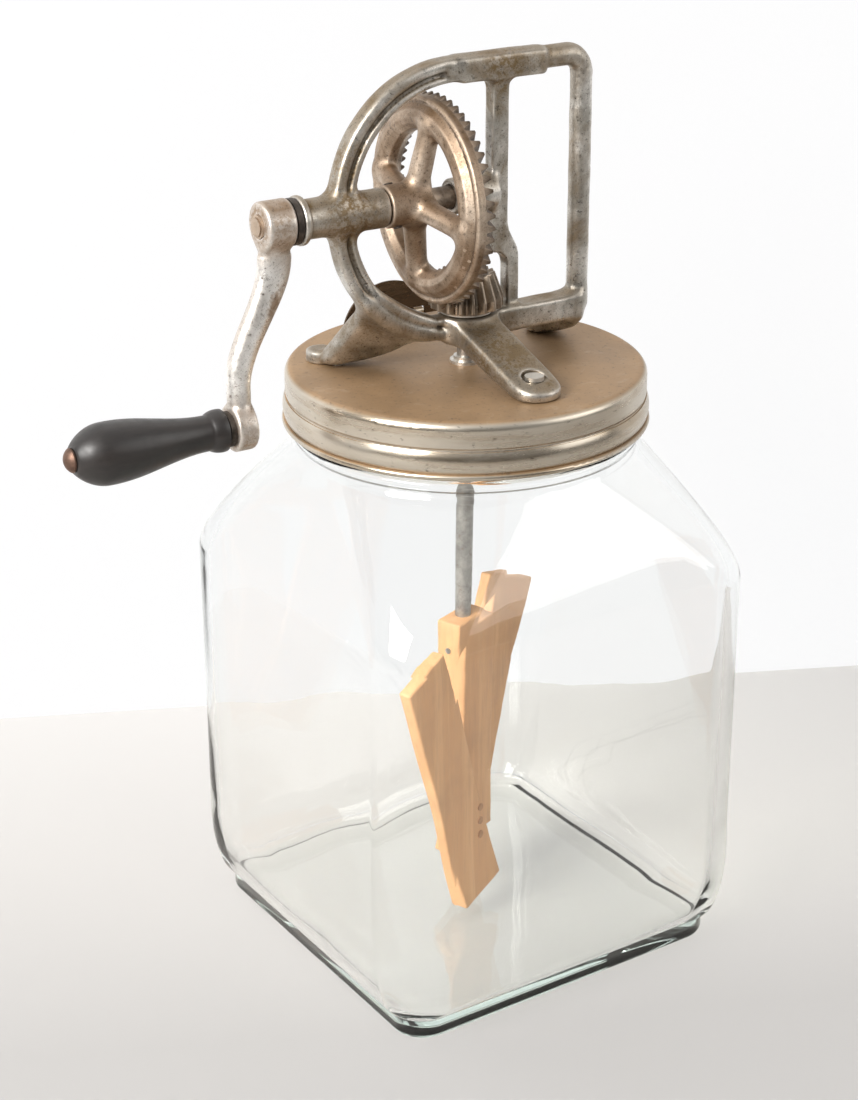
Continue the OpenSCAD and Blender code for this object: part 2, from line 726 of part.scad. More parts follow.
module drive_wheel() {
    rim_front = -hub_x1 + 2.4;
    spoke_tilt = 9;
    edge_r = cone_point(wheel_cone, cone_out, -root_slope)[0];
    color(brown_iron_c) translate([0, 0, shaft_z]) difference() {
        union() {
            rotate([0, -90, 0]) {
                rotate_extrude() polygon([
                    cone_point(wheel_cone, cone_in, -root_slope),
                    cone_point(wheel_cone, cone_out, -root_slope),
                    [edge_r, rim_front - 2.6], [edge_r - 3, rim_front - 1.6], [edge_r - 4.2, rim_front],
                    [edge_r - 7, rim_front + 1], [rim_in_r + 3, rim_front + 0.4],
                    [rim_in_r + 0.8, rim_front - 1.4],
                    [rim_in_r, rim_front - 4], [rim_in_r + 1, rim_front - 7]]);
                for (k = [0 : wheel_teeth - 1])
                    rotate([0, 0, 180 + 360 * k / wheel_teeth]) tooth(wheel_cone);
            }
            x_rod(wheel_hub_d, hub_x0, hub_x1);
            for (k = [0 : 3])
                rotate([spoke_turn + 90 * k, 0, 0]) translate([spoke_x, 0, 0]) rotate([-90, 0, 0])
                    rotate([0, spoke_tilt, 0])
                    cylinder(d1 = spoke_d + 1, d2 = spoke_d, h = rim_in_r + 3);
        }
        x_rod(shaft_d + 2 * pin_gap, hub_x0 - 1, hub_x1 + 9);
        translate([wheel_pin_x, 0, 0]) rotate([wheel_pin_turn, 0, 0])
            cylinder(d = wheel_pin_d + 2 * pin_gap, h = 2 * wheel_hub_d, center = true);
    }
}

module wheel_pin() {
    color(steel_c) translate([wheel_pin_x, 0, shaft_z]) rotate([wheel_pin_turn, 0, 0])
        cylinder(d = wheel_pin_d, h = wheel_hub_d + 0.6, center = true);
}

module pinion() {
    color(brown_iron_c) difference() {
        union() {
            translate([0, 0, shaft_z]) rotate([180, 0, 0]) {
                rotate_extrude() polygon([
                    [0, cone_in * cos(pinion_cone)],
                    cone_point(pinion_cone, cone_in, -root_slope),
                    cone_point(pinion_cone, cone_out, -root_slope),
                    [pinion_tip_r - 1.4, wheel_r + pinion_base_t], [0, wheel_r + pinion_base_t]]);
                for (k = [0 : pinion_teeth - 1])
                    rotate([0, 0, 180 + 360 * (k + 0.5) / pinion_teeth]) tooth(pinion_cone);
            }
            z_rod(2 * collar_r, pinion_top - 1, pinion_top + collar_h);
        }
        z_rod(rod_d + 2 * pin_gap, base_top, rod_z1 + 1);
        translate([0, 0, pinion_top + collar_h / 2]) rotate([90, 0, 0])
            cylinder(d = cross_pin_d + 2 * pin_gap, h = 4 * collar_r, center = true);
    }
}

module pinion_pin() {
    color(steel_c) translate([0, 0, pinion_top + collar_h / 2]) rotate([90, 0, 0])
        cylinder(d = cross_pin_d, h = 2 * collar_r + 0.4, center = true);
}

module thrust_washer() {
    color(steel_c) difference() {
        z_rod(2 * hub_r - 1, base_top + move_gap, base_top + move_gap + washer_t);
        z_rod(rod_d + 2 * pin_gap, base_top, base_top + 3);
    }
}

module dasher_shaft() {
    color(steel_c) difference() {
        z_rod(rod_d, rod_z0, rod_z1);
        translate([0, 0, pinion_top + collar_h / 2]) rotate([90, 0, 0])
            cylinder(d = cross_pin_d + 2 * pin_gap, h = 4 * collar_r, center = true);
        rotate([0, 0, dasher_turn]) translate([0, 0, dasher_pin_z]) rotate([0, 90, 0])
            cylinder(d = dasher_pin_d + 2 * pin_gap, h = 2 * block_w, center = true);
    }
}

// How much a slat is raised: only the back one is
function slat_rise(side) = side > 0 ? slat_step : 0;

// The nails of one slat, grown by a gap to make their holes
module nails(side, grow) {
    for (k = [-1 : 1])
        translate([side * nail_x, side * (block_t / 2 + slat_t), slat_rise(side) + nail_z + nail_step * k])
            rotate([side * 90, 0, 0]) {
                cylinder(d = nail_d + 2 * grow, h = nail_l);
                translate([0, 0, -nail_head_t]) cylinder(d = nail_head_d, h = nail_head_t);
            }
}

module dasher_hub() {
    color(wood_c) rotate([0, 0, dasher_turn]) difference() {
        translate([-block_w / 2, -block_t / 2, block_z]) cube([block_w, block_t, block_l]);
        z_rod(rod_d + 2 * pin_gap, rod_z0, block_top + 1);
        translate([0, 0, dasher_pin_z]) rotate([0, 90, 0])
            cylinder(d = dasher_pin_d + 2 * pin_gap, h = 2 * block_w, center = true);
        for (s = [-1, 1]) nails(s, pin_gap);
    }
}

module dasher_pin() {
    color(steel_c) rotate([0, 0, dasher_turn]) translate([0, 0, dasher_pin_z]) rotate([0, 90, 0])
        cylinder(d = dasher_pin_d, h = block_w + 0.6, center = true);
}

// A slat on one face of the block, leaning to one side
module slat(side) {
    color(wood_c) rotate([0, 0, dasher_turn]) difference() {
        translate([side * slat_off, side * (block_t + slat_t) / 2, slat_z + slat_rise(side)])
            rotate([0, side * slat_lean, 0]) cube([slat_w, slat_t, slat_l], center = true);
        nails(side, pin_gap);
    }
}

module front_blade() {
    slat(-1);
}

module back_blade() {
    slat(1);
}

module blade_nails() {
    color(steel_c) rotate([0, 0, dasher_turn]) for (s = [-1, 1]) nails(s, 0);
}

jar();
sealing_ring();
cap();
strainer_screen();
flap_bracket();
flap_pin();
pour_flap();
gear_frame();
frame_rivets();
shaft_ferrule();
crank_shaft();
crank_washer();
crank_arm();
grip_spindle();
grip_washer();
grip();
drive_wheel();
wheel_pin();
pinion();
pinion_pin();
thrust_washer();
dasher_shaft();
dasher_hub();
dasher_pin();
front_blade();
back_blade();
blade_nails();
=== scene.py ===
"""Looks for the glass jar butter churn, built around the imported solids. Sizes are in millimetres."""

import math

import bmesh
import bpy
import numpy as np
from mathutils import Euler, Matrix, Vector, noise


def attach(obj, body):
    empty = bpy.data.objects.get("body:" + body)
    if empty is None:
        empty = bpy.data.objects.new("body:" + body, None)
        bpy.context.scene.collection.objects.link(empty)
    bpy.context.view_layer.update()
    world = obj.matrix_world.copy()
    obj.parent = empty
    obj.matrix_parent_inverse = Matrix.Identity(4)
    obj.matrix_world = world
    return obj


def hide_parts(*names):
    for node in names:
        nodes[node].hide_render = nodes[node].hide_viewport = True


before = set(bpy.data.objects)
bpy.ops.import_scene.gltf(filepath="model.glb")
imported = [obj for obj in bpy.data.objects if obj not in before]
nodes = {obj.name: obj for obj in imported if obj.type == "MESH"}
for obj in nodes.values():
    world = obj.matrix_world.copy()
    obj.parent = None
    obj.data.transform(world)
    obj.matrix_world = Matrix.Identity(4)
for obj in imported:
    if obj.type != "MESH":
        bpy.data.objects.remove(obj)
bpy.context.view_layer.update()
scene = bpy.context.scene
MM = 0.001

# Jar
JAR_W, FOOT_W = 157.0, 139.5
JAR_CORNER, FOOT_CORNER = 22.0, 12.0
JAR_TURN = math.radians(2.6)
GLASS_T, FLOOR_T = 4.0, 7.0
JAR_IN = JAR_W / 2 - GLASS_T
CORNER_IN = JAR_CORNER - GLASS_T + 1.0
BODY_H, SHOULDER_H, NECK_H = 150.0, 50.0, 24.5
NECK_R = 61.0
MOUTH_R = 56.4
HEEL_Z, HEEL_H, HEEL_START = 9.0, 38.0, math.radians(24.0)
FLOOR_IN, FLOOR_CORNER = FOOT_W / 2 - GLASS_T - 2.5, FOOT_CORNER + 2
HEEL_IN_H = HEEL_H - 6
SHOULDER_SOFT = 0.34
THREAD_H, THREAD_PITCH = 2.0, 6.0
NECK_Z = BODY_H + SHOULDER_H
RIM_Z = NECK_Z + NECK_H

# Cap
SEAL_T, SHEET_T = 1.6, 0.9
CAP_Z = RIM_Z + SEAL_T + SHEET_T

# Gear frame
LEG_RISE, BASE_T = 9.3, 9.5
BASE_Z = CAP_Z + LEG_RISE
BASE_TOP = BASE_Z + BASE_T
SHAFT_Z = 288.05
BAR_R = 4.1
ARCH_X, ARCH_Z, ARCH_R = -6.6, SHAFT_Z + 1.0, 43.5
ARCH_DROP, ARCH_SINK = 4.0, 0.8
ARCH_LOW_Z = ARCH_Z - ARCH_DROP
ARCH_LOW_R = ARCH_LOW_Z - (BASE_TOP - BAR_R - ARCH_SINK)
ARCH_LOW_X = ARCH_LOW_R - ARCH_R + ARCH_X
TOP_Z = ARCH_Z + ARCH_R
HANDLE_X, BEND_R = 47.4, 7.0
POST_IN, POST_OUT, POST_T = 9.0, 16.0, 6.0
HUB_R = 10.0
FOOT_T, FOOT_R, FRONT_FOOT_R = 4.8, 8, 10.2
FOOT_REACH, LEFT_ANGLE, RIGHT_ANGLE = 46, math.radians(153), math.radians(20)
LEFT_FOOT = (FOOT_REACH * math.cos(LEFT_ANGLE), FOOT_REACH * math.sin(LEFT_ANGLE))
RIGHT_FOOT = (FOOT_REACH * math.cos(RIGHT_ANGLE), FOOT_REACH * math.sin(RIGHT_ANGLE))
FRONT_FOOT = (0.8, -43.5)
LEG_ANGLES = (222, 255)
TOE_R, TOE_T = 5.5, 4.4
BEARING_OUT, BEARING_IN, BEARING_R = 67.3, 33.5, 7.0
LIP_T, LIP_R = 2.6, 8.75
SHAFT_R, ROD_R, BORE_GAP = 4.0, 3.2, 0.06

# Gears
WHEEL_R, RATIO, PINION_TEETH = 36.5, 3, 18
WHEEL_TEETH = RATIO * PINION_TEETH
WHEEL_CONE = math.atan(RATIO)
PINION_CONE = math.pi / 2 - WHEEL_CONE
CONE_OUT = WHEEL_R / math.sin(WHEEL_CONE)
FACE_W = 8.6
CONE_IN = CONE_OUT * (1 - FACE_W / WHEEL_R)
MODULE = 2 * WHEEL_R / WHEEL_TEETH
TIP_SLOPE, ROOT_SLOPE = 0.85 * MODULE / CONE_OUT, 1.2 * MODULE / CONE_OUT
HALF_TOOTH = 0.215 * math.pi * MODULE / CONE_OUT
RIM_IN_R, WHEEL_HUB_R = 24.0, 7.5
HUB_X0, HUB_X1 = -33.15, -(WHEEL_R / RATIO + 4.8)
PINION_TOP = SHAFT_Z - CONE_IN * math.cos(PINION_CONE)
PINION_BASE_T, TOOTH_PAST = 4.6, 3.7
COLLAR_R, COLLAR_H = 5.8, 4.0

# Crank
BOSS_X0, BOSS_X1, BOSS_R = -80.85, -69.85, 8.5
BOSS_X = (BOSS_X0 + BOSS_X1) / 2
THROW, STEP_OUT = 68.6, 15.2
EYE_X, EYE_T, EYE_R = BOSS_X - STEP_OUT, 7.8, 8.5
GRIP_Z = SHAFT_Z - THROW
ARM_W, ARM_T = 12.6, 8.6
WASHER_T, GRIP_GAP = 2.0, 0.35
GRIP_X1 = EYE_X - EYE_T / 2 - WASHER_T - GRIP_GAP
GRIP_L, GRIP_R, GRIP_NECK_R, GRIP_BORE_R = 55.0, 10.7, 6.2, 2.56

# Dasher
BLOCK_W, BLOCK_T, BLOCK_L = 20.0, 11.0, 92.0
SLAT_L, SLAT_W, SLAT_T = 112.0, 24.0, 5.5
SLAT_LEAN, SLAT_OFF, SLAT_STEP = math.radians(18), 22.0, 8.0
DASHER_TURN = math.radians(23)
SLAT_Z = FLOOR_T + 3 + SLAT_L / 2 * math.cos(SLAT_LEAN) + SLAT_W / 2 * math.sin(SLAT_LEAN)
BLOCK_Z = SLAT_Z - 32.0


# Materials

class Nodes:
    """Short calls for the nodes of a material or a world."""

    def __init__(self, owner):
        owner.use_nodes = True
        self.tree = owner.node_tree

    def add(self, kind, **settings):
        node = self.tree.nodes.new(kind)
        for key, value in settings.items():
            setattr(node, key, value)
        return node

    def link(self, source, target):
        self.tree.links.new(source, target)

    def put(self, socket, value):
        if isinstance(value, bpy.types.NodeSocket):
            self.link(value, socket)
        elif isinstance(value, (tuple, list)) and len(value) == 3 and socket.type == "RGBA":
            socket.default_value = (*value, 1.0)
        else:
            socket.default_value = value

    def ramp(self, value, *stops):
        node = self.add("ShaderNodeValToRGB")
        self.put(node.inputs[0], value)
        ramp = node.color_ramp
        while len(ramp.elements) < len(stops):
            ramp.elements.new(0.5)
        for element, (place, colour) in zip(ramp.elements, stops):
            element.position = place
            colour = colour if isinstance(colour, tuple) else (colour, colour, colour)
            element.color = (*colour, 1.0)
        return node.outputs[0]

    def mix(self, share, a, b):
        node = self.add("ShaderNodeMix", data_type="RGBA")
        self.put(node.inputs[0], share)
        self.put(node.inputs[6], a)
        self.put(node.inputs[7], b)
        return node.outputs[2]

    def sum(self, kind, a, b):
        node = self.add("ShaderNodeMath", operation=kind, use_clamp=kind not in ("ADD", "SUBTRACT"))
        self.put(node.inputs[0], a)
        self.put(node.inputs[1], b)
        return node.outputs[0]

    def blend(self, share, a, b):
        """A mix of two shaders."""
        node = self.add("ShaderNodeMixShader")
        for socket, source in zip(node.inputs, (share, a, b)):
            self.link(source, socket)
        return node.outputs[0]


class Look(Nodes):
    """A procedural material on one Principled shader."""

    def __init__(self, name, **settings):
        self.material = bpy.data.materials.new(name)
        super().__init__(self.material)
        self.tree.nodes.clear()
        self.shader = self.add("ShaderNodeBsdfPrincipled")
        self.output = self.add("ShaderNodeOutputMaterial")
        self.link(self.shader.outputs[0], self.output.inputs["Surface"])
        for key, value in settings.items():
            self.shader.inputs[key.replace("_", " ").title().replace("Ior", "IOR")].default_value = value
        self.place = self.add("ShaderNodeTexCoord")

    def set(self, name, value):
        self.put(self.shader.inputs[name], value)

    def coords(self, scale=(1, 1, 1), turn=(0, 0, 0), shift=(0, 0, 0)):
        node = self.add("ShaderNodeMapping")
        self.link(self.place.outputs["Object"], node.inputs["Vector"])
        node.inputs["Scale"].default_value = scale
        node.inputs["Rotation"].default_value = turn
        node.inputs["Location"].default_value = shift
        return node.outputs[0]

    def noise(self, scale, detail=4.0, rough=0.6, where=None, twist=0.0):
        node = self.add("ShaderNodeTexNoise")
        self.link(where or self.place.outputs["Object"], node.inputs["Vector"])
        node.inputs["Scale"].default_value = scale
        node.inputs["Detail"].default_value = detail
        node.inputs["Roughness"].default_value = rough
        node.inputs["Distortion"].default_value = twist
        return node.outputs["Fac"]

    def up(self):
        """How far the surface faces up, in the piece's own frame, from 0 to 1."""
        node = self.add("ShaderNodeSeparateXYZ")
        self.link(self.place.outputs["Normal"], node.inputs[0])
        return node.outputs[2]

    def edges(self, low, high):
        """0 in hollows and 1 on sharp edges of a dense mesh."""
        return self.ramp(self.add("ShaderNodeNewGeometry").outputs["Pointiness"], (low, 0.0), (high, 1.0))

    def spot(self, place, reach):
        """1 at a place in millimetres and 0 beyond its reach."""
        node = self.add("ShaderNodeVectorMath", operation="DISTANCE")
        self.link(self.place.outputs["Object"], node.inputs[0])
        node.inputs[1].default_value = [c * MM for c in place]
        return self.ramp(self.sum("DIVIDE", node.outputs["Value"], reach * MM), (0.35, 1.0), (1.0, 0.0))

    def across(self, start, end):
        """0 up to one place along x, in millimetres, and 1 from another on."""
        node = self.add("ShaderNodeSeparateXYZ")
        self.link(self.place.outputs["Object"], node.inputs[0])
        return self.sum("DIVIDE", self.sum("SUBTRACT", node.outputs[0], start * MM), (end - start) * MM)

    def bump(self, *layers):
        normal = None
        for height, strength, distance in layers:
            node = self.add("ShaderNodeBump")
            self.put(node.inputs["Height"], height)
            node.inputs["Strength"].default_value = strength
            node.inputs["Distance"].default_value = distance * MM
            if normal is not None:
                self.link(normal, node.inputs["Normal"])
            normal = node.outputs[0]
        self.link(normal, self.shader.inputs["Normal"])


def cast_look(name, bright, dull, stain, dark, stain_share, metal, spots=(), dark_span=None,
              rough=(0.23, 0.50)):
    """Cast metal with a worn bright skin, stained tops, stained spots, fine dark pits, a span darker along x,
    and painted shade with some grime in its hollows.
    """
    look = Look(name, metallic=metal)
    broad = look.noise(60, 5, 0.62)
    fine = look.noise(520, 6, 0.7)
    speck = look.noise(1700, 3, 0.65)
    skin = look.mix(look.ramp(broad, (0.38, 0.0), (0.60, 1.0)), dull, bright)
    tops = look.ramp(look.up(), (0.05, 0.0), (0.75, 1.0))
    cloud = look.ramp(look.noise(38, 5, 0.7, twist=0.6), (0.5 - stain_share, 0.0), (0.66, 1.0))
    patch = look.sum("MAXIMUM", look.sum("MULTIPLY", tops, look.ramp(broad, (0.30, 0.4), (0.6, 1.0))),
                     look.sum("MULTIPLY", cloud, 0.85))
    for place, reach in spots:
        near = look.spot(place, reach)
        spotted = look.sum("MULTIPLY", near, look.ramp(fine, (0.36, 0.45), (0.56, 1.0)))
        patch = look.sum("MAXIMUM", patch, spotted)
    skin = look.mix(patch, skin, stain)
    pits = look.ramp(fine, (0.31, 1.0), (0.43, 0.0))
    skin = look.mix(look.sum("MULTIPLY", pits, 0.8), skin, dark)
    skin = look.mix(look.ramp(speck, (0.32, 0.6), (0.45, 0.0)), skin, dark)
    worn = look.edges(0.50, 0.56)
    skin = look.mix(look.sum("MULTIPLY", worn, 0.6), skin, bright)
    # Darkens the metal over fine noise from one place along x on; on the wheel this span covers its teeth.
    if dark_span:
        span_darkening = look.sum("MULTIPLY", look.across(*dark_span), look.ramp(fine, (0.35, 0.9), (0.7, 0.55)))
        skin = look.mix(span_darkening, skin, dark)
    # Pointiness darkens the hollows towards the dark colour: painted shade in the recesses, with some grime.
    hollow_shade_and_grime = look.ramp(look.add("ShaderNodeNewGeometry").outputs["Pointiness"], (0.43, 1.0), (0.495, 0.0))
    skin = look.mix(look.sum("MULTIPLY", hollow_shade_and_grime, 0.85), skin, dark)
    look.set("Base Color", skin)
    look.set("Roughness", look.ramp(look.sum("ADD", fine, look.sum("MULTIPLY", patch, 0.25)),
                                    (0.35, rough[0]), (0.75, rough[1])))
    look.bump((broad, 0.35, 0.5), (fine, 0.45, 0.22), (speck, 0.35, 0.08))
    return look.material


frame_iron = cast_look("frame_iron", (0.76, 0.735, 0.69), (0.32, 0.30, 0.26), (0.21, 0.145, 0.075),
                       (0.045, 0.032, 0.02), 0.065, 0.92,
                       [((-48, 0, SHAFT_Z), 24), ((-46, -3, 305), 15), ((-33, 6, 250), 16),
                        ((0, -27, BASE_TOP - 4), 34), ((0, 0, BASE_TOP), 18), ((13, 0, TOP_Z), 22)])
crank_iron = cast_look("crank_iron", (0.94, 0.92, 0.89), (0.68, 0.655, 0.62), (0.30, 0.20, 0.12),
                       (0.13, 0.085, 0.055), -0.08, 0.8,
                       [((EYE_X, 0, GRIP_Z - 2), 16), ((BOSS_X, 0, SHAFT_Z + 1), 18)])
gear_iron = cast_look("gear_iron", (0.60, 0.49, 0.39), (0.27, 0.195, 0.135), (0.20, 0.125, 0.07),
                      (0.04, 0.026, 0.017), 0.08, 0.88, dark_span=(-15.5, -11.5), rough=(0.33, 0.58))
pinion_iron = cast_look("pinion_iron", (0.40, 0.33, 0.26), (0.11, 0.08, 0.055), (0.085, 0.055, 0.032),
                        (0.025, 0.016, 0.01), 0.1, 0.85)


def tin_look(name, top, bright, warm, dark):
    """Rolled tin plate: a dull stained top, and bright turned sides with streaks round them."""
    look = Look(name, metallic=0.85)
    broad = look.noise(38, 5, 0.6)
    fine = look.noise(520, 5, 0.65)
    streak = look.noise(24, 4, 0.55, where=look.coords(scale=(1, 1, 9)))
    side = look.mix(look.ramp(streak, (0.30, 0.35), (0.56, 1.0)), warm, bright)
    side = look.mix(look.ramp(look.noise(260, 5, 0.7, where=look.coords(scale=(1, 1, 2.5))),
                              (0.28, 0.75), (0.40, 0.0)), side, dark)
    dim, light = tuple(c * 0.93 for c in top), tuple(c * 1.2 for c in top)
    flat = look.mix(look.ramp(broad, (0.36, 0.0), (0.62, 1.0)), dim, light)
    flat = look.mix(look.ramp(look.noise(150, 6, 0.75, twist=0.8), (0.56, 0.0), (0.78, 0.25)), flat, bright)
    flat = look.mix(look.ramp(fine, (0.3, 0.5), (0.44, 0.0)), flat, dark)
    tops = look.ramp(look.up(), (0.55, 0.0), (0.9, 1.0))
    look.set("Base Color", look.mix(tops, side, flat))
    look.set("Metallic", look.ramp(tops, (0.0, 0.92), (1.0, 0.35)))
    look.set("Roughness", look.mix(tops, look.ramp(streak, (0.3, 0.2), (0.7, 0.38)),
                                   look.ramp(broad, (0.3, 0.46), (0.7, 0.56))))
    look.bump((streak, 0.12, 0.25), (fine, 0.16, 0.08))
    return look.material


tin = tin_look("tin", (0.28, 0.18, 0.097), (0.57, 0.515, 0.435), (0.33, 0.245, 0.15), (0.06, 0.043, 0.03))
# Tin for the pour flap: its darkness is partly dirt and oxide and partly painted shade, as the raised flap
# shows its shaded underside.
dark_tin = tin_look("dark_tin", (0.10, 0.066, 0.040), (0.13, 0.085, 0.05), (0.09, 0.056, 0.032),
                    (0.035, 0.022, 0.014))


def steel_look(name, bright, dull, rust, rough):
    """Drawn steel with a mottled skin and a little rust."""
    look = Look(name, metallic=0.9)
    broad = look.noise(160, 5, 0.65)
    fine = look.noise(900, 4, 0.6)
    skin = look.mix(look.ramp(broad, (0.36, 0.0), (0.62, 1.0)), dull, bright)
    skin = look.mix(look.ramp(look.noise(260, 5, 0.7), (0.58, 0.0), (0.72, 0.8)), skin, rust)
    look.set("Base Color", skin)
    look.set("Roughness", look.ramp(fine, (0.3, rough), (0.7, rough + 0.18)))
    look.bump((broad, 0.15, 0.2), (fine, 0.25, 0.08))
    return look.material


steel = steel_look("steel", (0.66, 0.63, 0.58), (0.44, 0.41, 0.37), (0.26, 0.16, 0.09), 0.28)
rod_steel = steel_look("rod_steel", (0.50, 0.48, 0.45), (0.26, 0.245, 0.225), (0.20, 0.14, 0.09), 0.34)
dark_steel = steel_look("dark_steel", (0.12, 0.10, 0.085), (0.05, 0.043, 0.037), (0.13, 0.075, 0.045), 0.45)
rust_steel = steel_look("rust_steel", (0.50, 0.29, 0.155), (0.42, 0.225, 0.115), (0.34, 0.17, 0.085), 0.5)
rivet_copper = steel_look("rivet_copper", (0.22, 0.135, 0.10), (0.12, 0.073, 0.054), (0.08, 0.046, 0.03),
                          0.42)


def lacquer_look():
    """Black lacquer over turned wood, rubbed and scuffed."""
    look = Look("black_wood", coat_weight=0.12, coat_roughness=0.3)
    grain = look.noise(60, 6, 0.7, where=look.coords(scale=(0.4, 3, 3)))
    scuff = look.ramp(look.noise(700, 5, 0.75), (0.68, 0.0), (0.76, 1.0))
    zone = look.ramp(look.noise(70, 3, 0.5), (0.45, 0.0), (0.65, 1.0))
    skin = look.mix(look.ramp(grain, (0.35, 0.0), (0.7, 1.0)), (0.011, 0.0095, 0.009), (0.026, 0.021, 0.019))
    look.set("Base Color", look.mix(look.sum("MULTIPLY", scuff, zone), skin, (0.30, 0.27, 0.24)))
    look.set("Roughness", look.ramp(look.noise(240, 5, 0.65), (0.3, 0.34), (0.7, 0.52)))
    look.bump((grain, 0.18, 0.3), (look.noise(520, 4, 0.6), 0.12, 0.1))
    return look.material


black_wood = lacquer_look()


def wood_look(name, lean):
    """Plain sawn softwood, with its grain along the piece and darker wet stains."""
    turn = (Matrix.Rotation(-lean, 3, "Y") @ Matrix.Rotation(-DASHER_TURN, 3, "Z")).to_euler("XYZ")
    look = Look(name)
    along = look.coords(scale=(1, 1, 0.07), turn=turn)
    rings = look.noise(150, 5, 0.55, where=along, twist=0.9)
    fibre = look.noise(900, 4, 0.6, where=along)
    stain = look.noise(30, 4, 0.6)
    skin = look.ramp(rings, (0.28, (0.60, 0.32, 0.15)), (0.48, (0.62, 0.34, 0.16)),
                     (0.72, (0.71, 0.41, 0.205)))
    skin = look.mix(look.ramp(fibre, (0.32, 0.2), (0.5, 0.0)), skin, (0.30, 0.15, 0.07))
    skin = look.mix(look.ramp(stain, (0.5, 0.0), (0.75, 0.4)), skin, (0.34, 0.20, 0.11))
    look.set("Base Color", skin)
    look.set("Roughness", look.ramp(fibre, (0.3, 0.55), (0.7, 0.72)))
    look.bump((rings, 0.15, 0.25), (fibre, 0.3, 0.12))
    return look.material


wood_front = wood_look("wood_front", -SLAT_LEAN)
wood_back = wood_look("wood_back", SLAT_LEAN)
wood_block = wood_look("wood_block", 0.0)


def rubber_look():
    """Old red rubber with a dull bloom."""
    look = Look("seal_rubber")
    bloom = look.noise(180, 5, 0.6)
    look.set("Base Color", look.ramp(bloom, (0.3, (0.16, 0.055, 0.035)), (0.7, (0.27, 0.12, 0.08))))
    look.set("Roughness", look.ramp(bloom, (0.3, 0.6), (0.7, 0.8)))
    look.bump((bloom, 0.2, 0.2))
    return look.material


seal_rubber = rubber_look()


def glass_look():
    """Clear pressed glass, a little green where it is thick, with faint waves in its skin."""
    look = Look("glass", transmission_weight=1.0, roughness=0.0, ior=1.5)
    look.shader.inputs["Base Color"].default_value = (1.0, 1.0, 1.0, 1.0)
    wave = look.noise(26, 2, 0.5)
    seed = look.ramp(look.noise(330, 3, 0.6), (0.2, 0.0), (0.3, 1.0))
    look.bump((wave, 0.06, 1.2), (seed, 0.04, 0.1))
    clear = look.add("ShaderNodeBsdfTransparent")
    clear.inputs[0].default_value = (0.825, 0.83, 0.815, 1.0)
    shadow = look.add("ShaderNodeLightPath").outputs["Is Shadow Ray"]
    both = look.blend(shadow, look.shader.outputs[0], clear.outputs[0])
    look.link(both, look.output.inputs["Surface"])
    body = look.add("ShaderNodeVolumeAbsorption")
    body.inputs["Color"].default_value = (0.72, 0.84, 0.78, 1.0)
    body.inputs["Density"].default_value = 9.0
    look.link(body.outputs[0], look.output.inputs["Volume"])
    return look.material


glass = glass_look()


# Pieces

def piece(name, points, faces, body, material, replaced, smooth=True):
    """A mesh piece in the row's frame that rides on a body and stands for a CAD node."""
    mesh = bpy.data.meshes.new(name)
    mesh.from_pydata((np.asarray(points, float) * MM).tolist(), [], [[int(i) for i in f] for f in faces])
    made = bmesh.new()
    made.from_mesh(mesh)
    bmesh.ops.recalc_face_normals(made, faces=made.faces)
    made.to_mesh(mesh)
    made.free()
    mesh.materials.append(material)
    mesh.polygons.foreach_set("use_smooth", [smooth] * len(mesh.polygons))
    thing = bpy.data.objects.new(name, mesh)
    scene.collection.objects.link(thing)
    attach(thing, body)
    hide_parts(*replaced)
    return thing


def sharpen(thing, angle):
    """Keeps edges sharper than an angle crisp under smooth shading."""
    thing.data.set_sharp_from_angle(angle=math.radians(angle))


def taken(made):
    """Points and faces of a bmesh, which is then freed."""
    made.verts.index_update()
    points = np.array([v.co for v in made.verts])
    faces = [[v.index for v in f.verts] for f in made.faces]
    made.free()
    return points, faces


def joined(points, faces, more_points, more_faces):
    """Two meshes as one."""
    more = [[i + len(points) for i in f] for f in more_faces]
    return np.concatenate([points, more_points]), faces.tolist() + more


def rough_cast(points, normals, amount, size):
    """Moves points in along their normals by a slow uneven amount, as on a hand-finished casting."""
    depth = np.array([noise.noise(Vector(p) / size) for p in points])
    return points - normals * (amount * (0.5 + 0.5 * depth))[:, None]


def round_corners(points, radius, steps=4):
    """A closed outline with each corner cut to a small curve."""
    out = []
    count = len(points)
    for i, point in enumerate(points):
        p = np.array(point, float)
        a = np.array(points[i - 1], float) - p
        b = np.array(points[(i + 1) % count], float) - p
        la, lb = np.linalg.norm(a), np.linalg.norm(b)
        a = p + a / la * min(radius, 0.45 * la)
        b = p + b / lb * min(radius, 0.45 * lb)
        for k in range(steps + 1):
            t = k / steps
            out.append((1 - t) ** 2 * a + 2 * t * (1 - t) * p + t * t * b)
    return np.array(out)


def revolve(outline, count):
    """Points round the Z axis over a closed outline of radius and height, and the faces between them."""
    turn = 2 * np.pi * np.arange(count) / count
    outline = np.asarray(outline, float)
    m = len(outline)
    points = np.stack([np.outer(np.cos(turn), outline[:, 0]), np.outer(np.sin(turn), outline[:, 0]),
                       np.tile(outline[:, 1], (count, 1))], -1).reshape(-1, 3)
    i, j = np.meshgrid(np.arange(count), np.arange(m), indexing="ij")
    i2, j2 = (i + 1) % count, (j + 1) % m
    faces = np.stack([i * m + j, i2 * m + j, i2 * m + j2, i * m + j2], -1).reshape(-1, 4)
    return points, faces


def turned(points, angle):
    """Points turned about the Z axis."""
    c, s = math.cos(angle), math.sin(angle)
    return points @ np.array([[c, -s, 0], [s, c, 0], [0, 0, 1]]).T


def along_x(points, x, z):
    """Turns points made round Z so that their axis runs towards -X from x, at height z."""
    return np.stack([x - points[:, 2], points[:, 1], z + points[:, 0]], -1)


# Distance fields, for castings whose bars and bosses run into each other

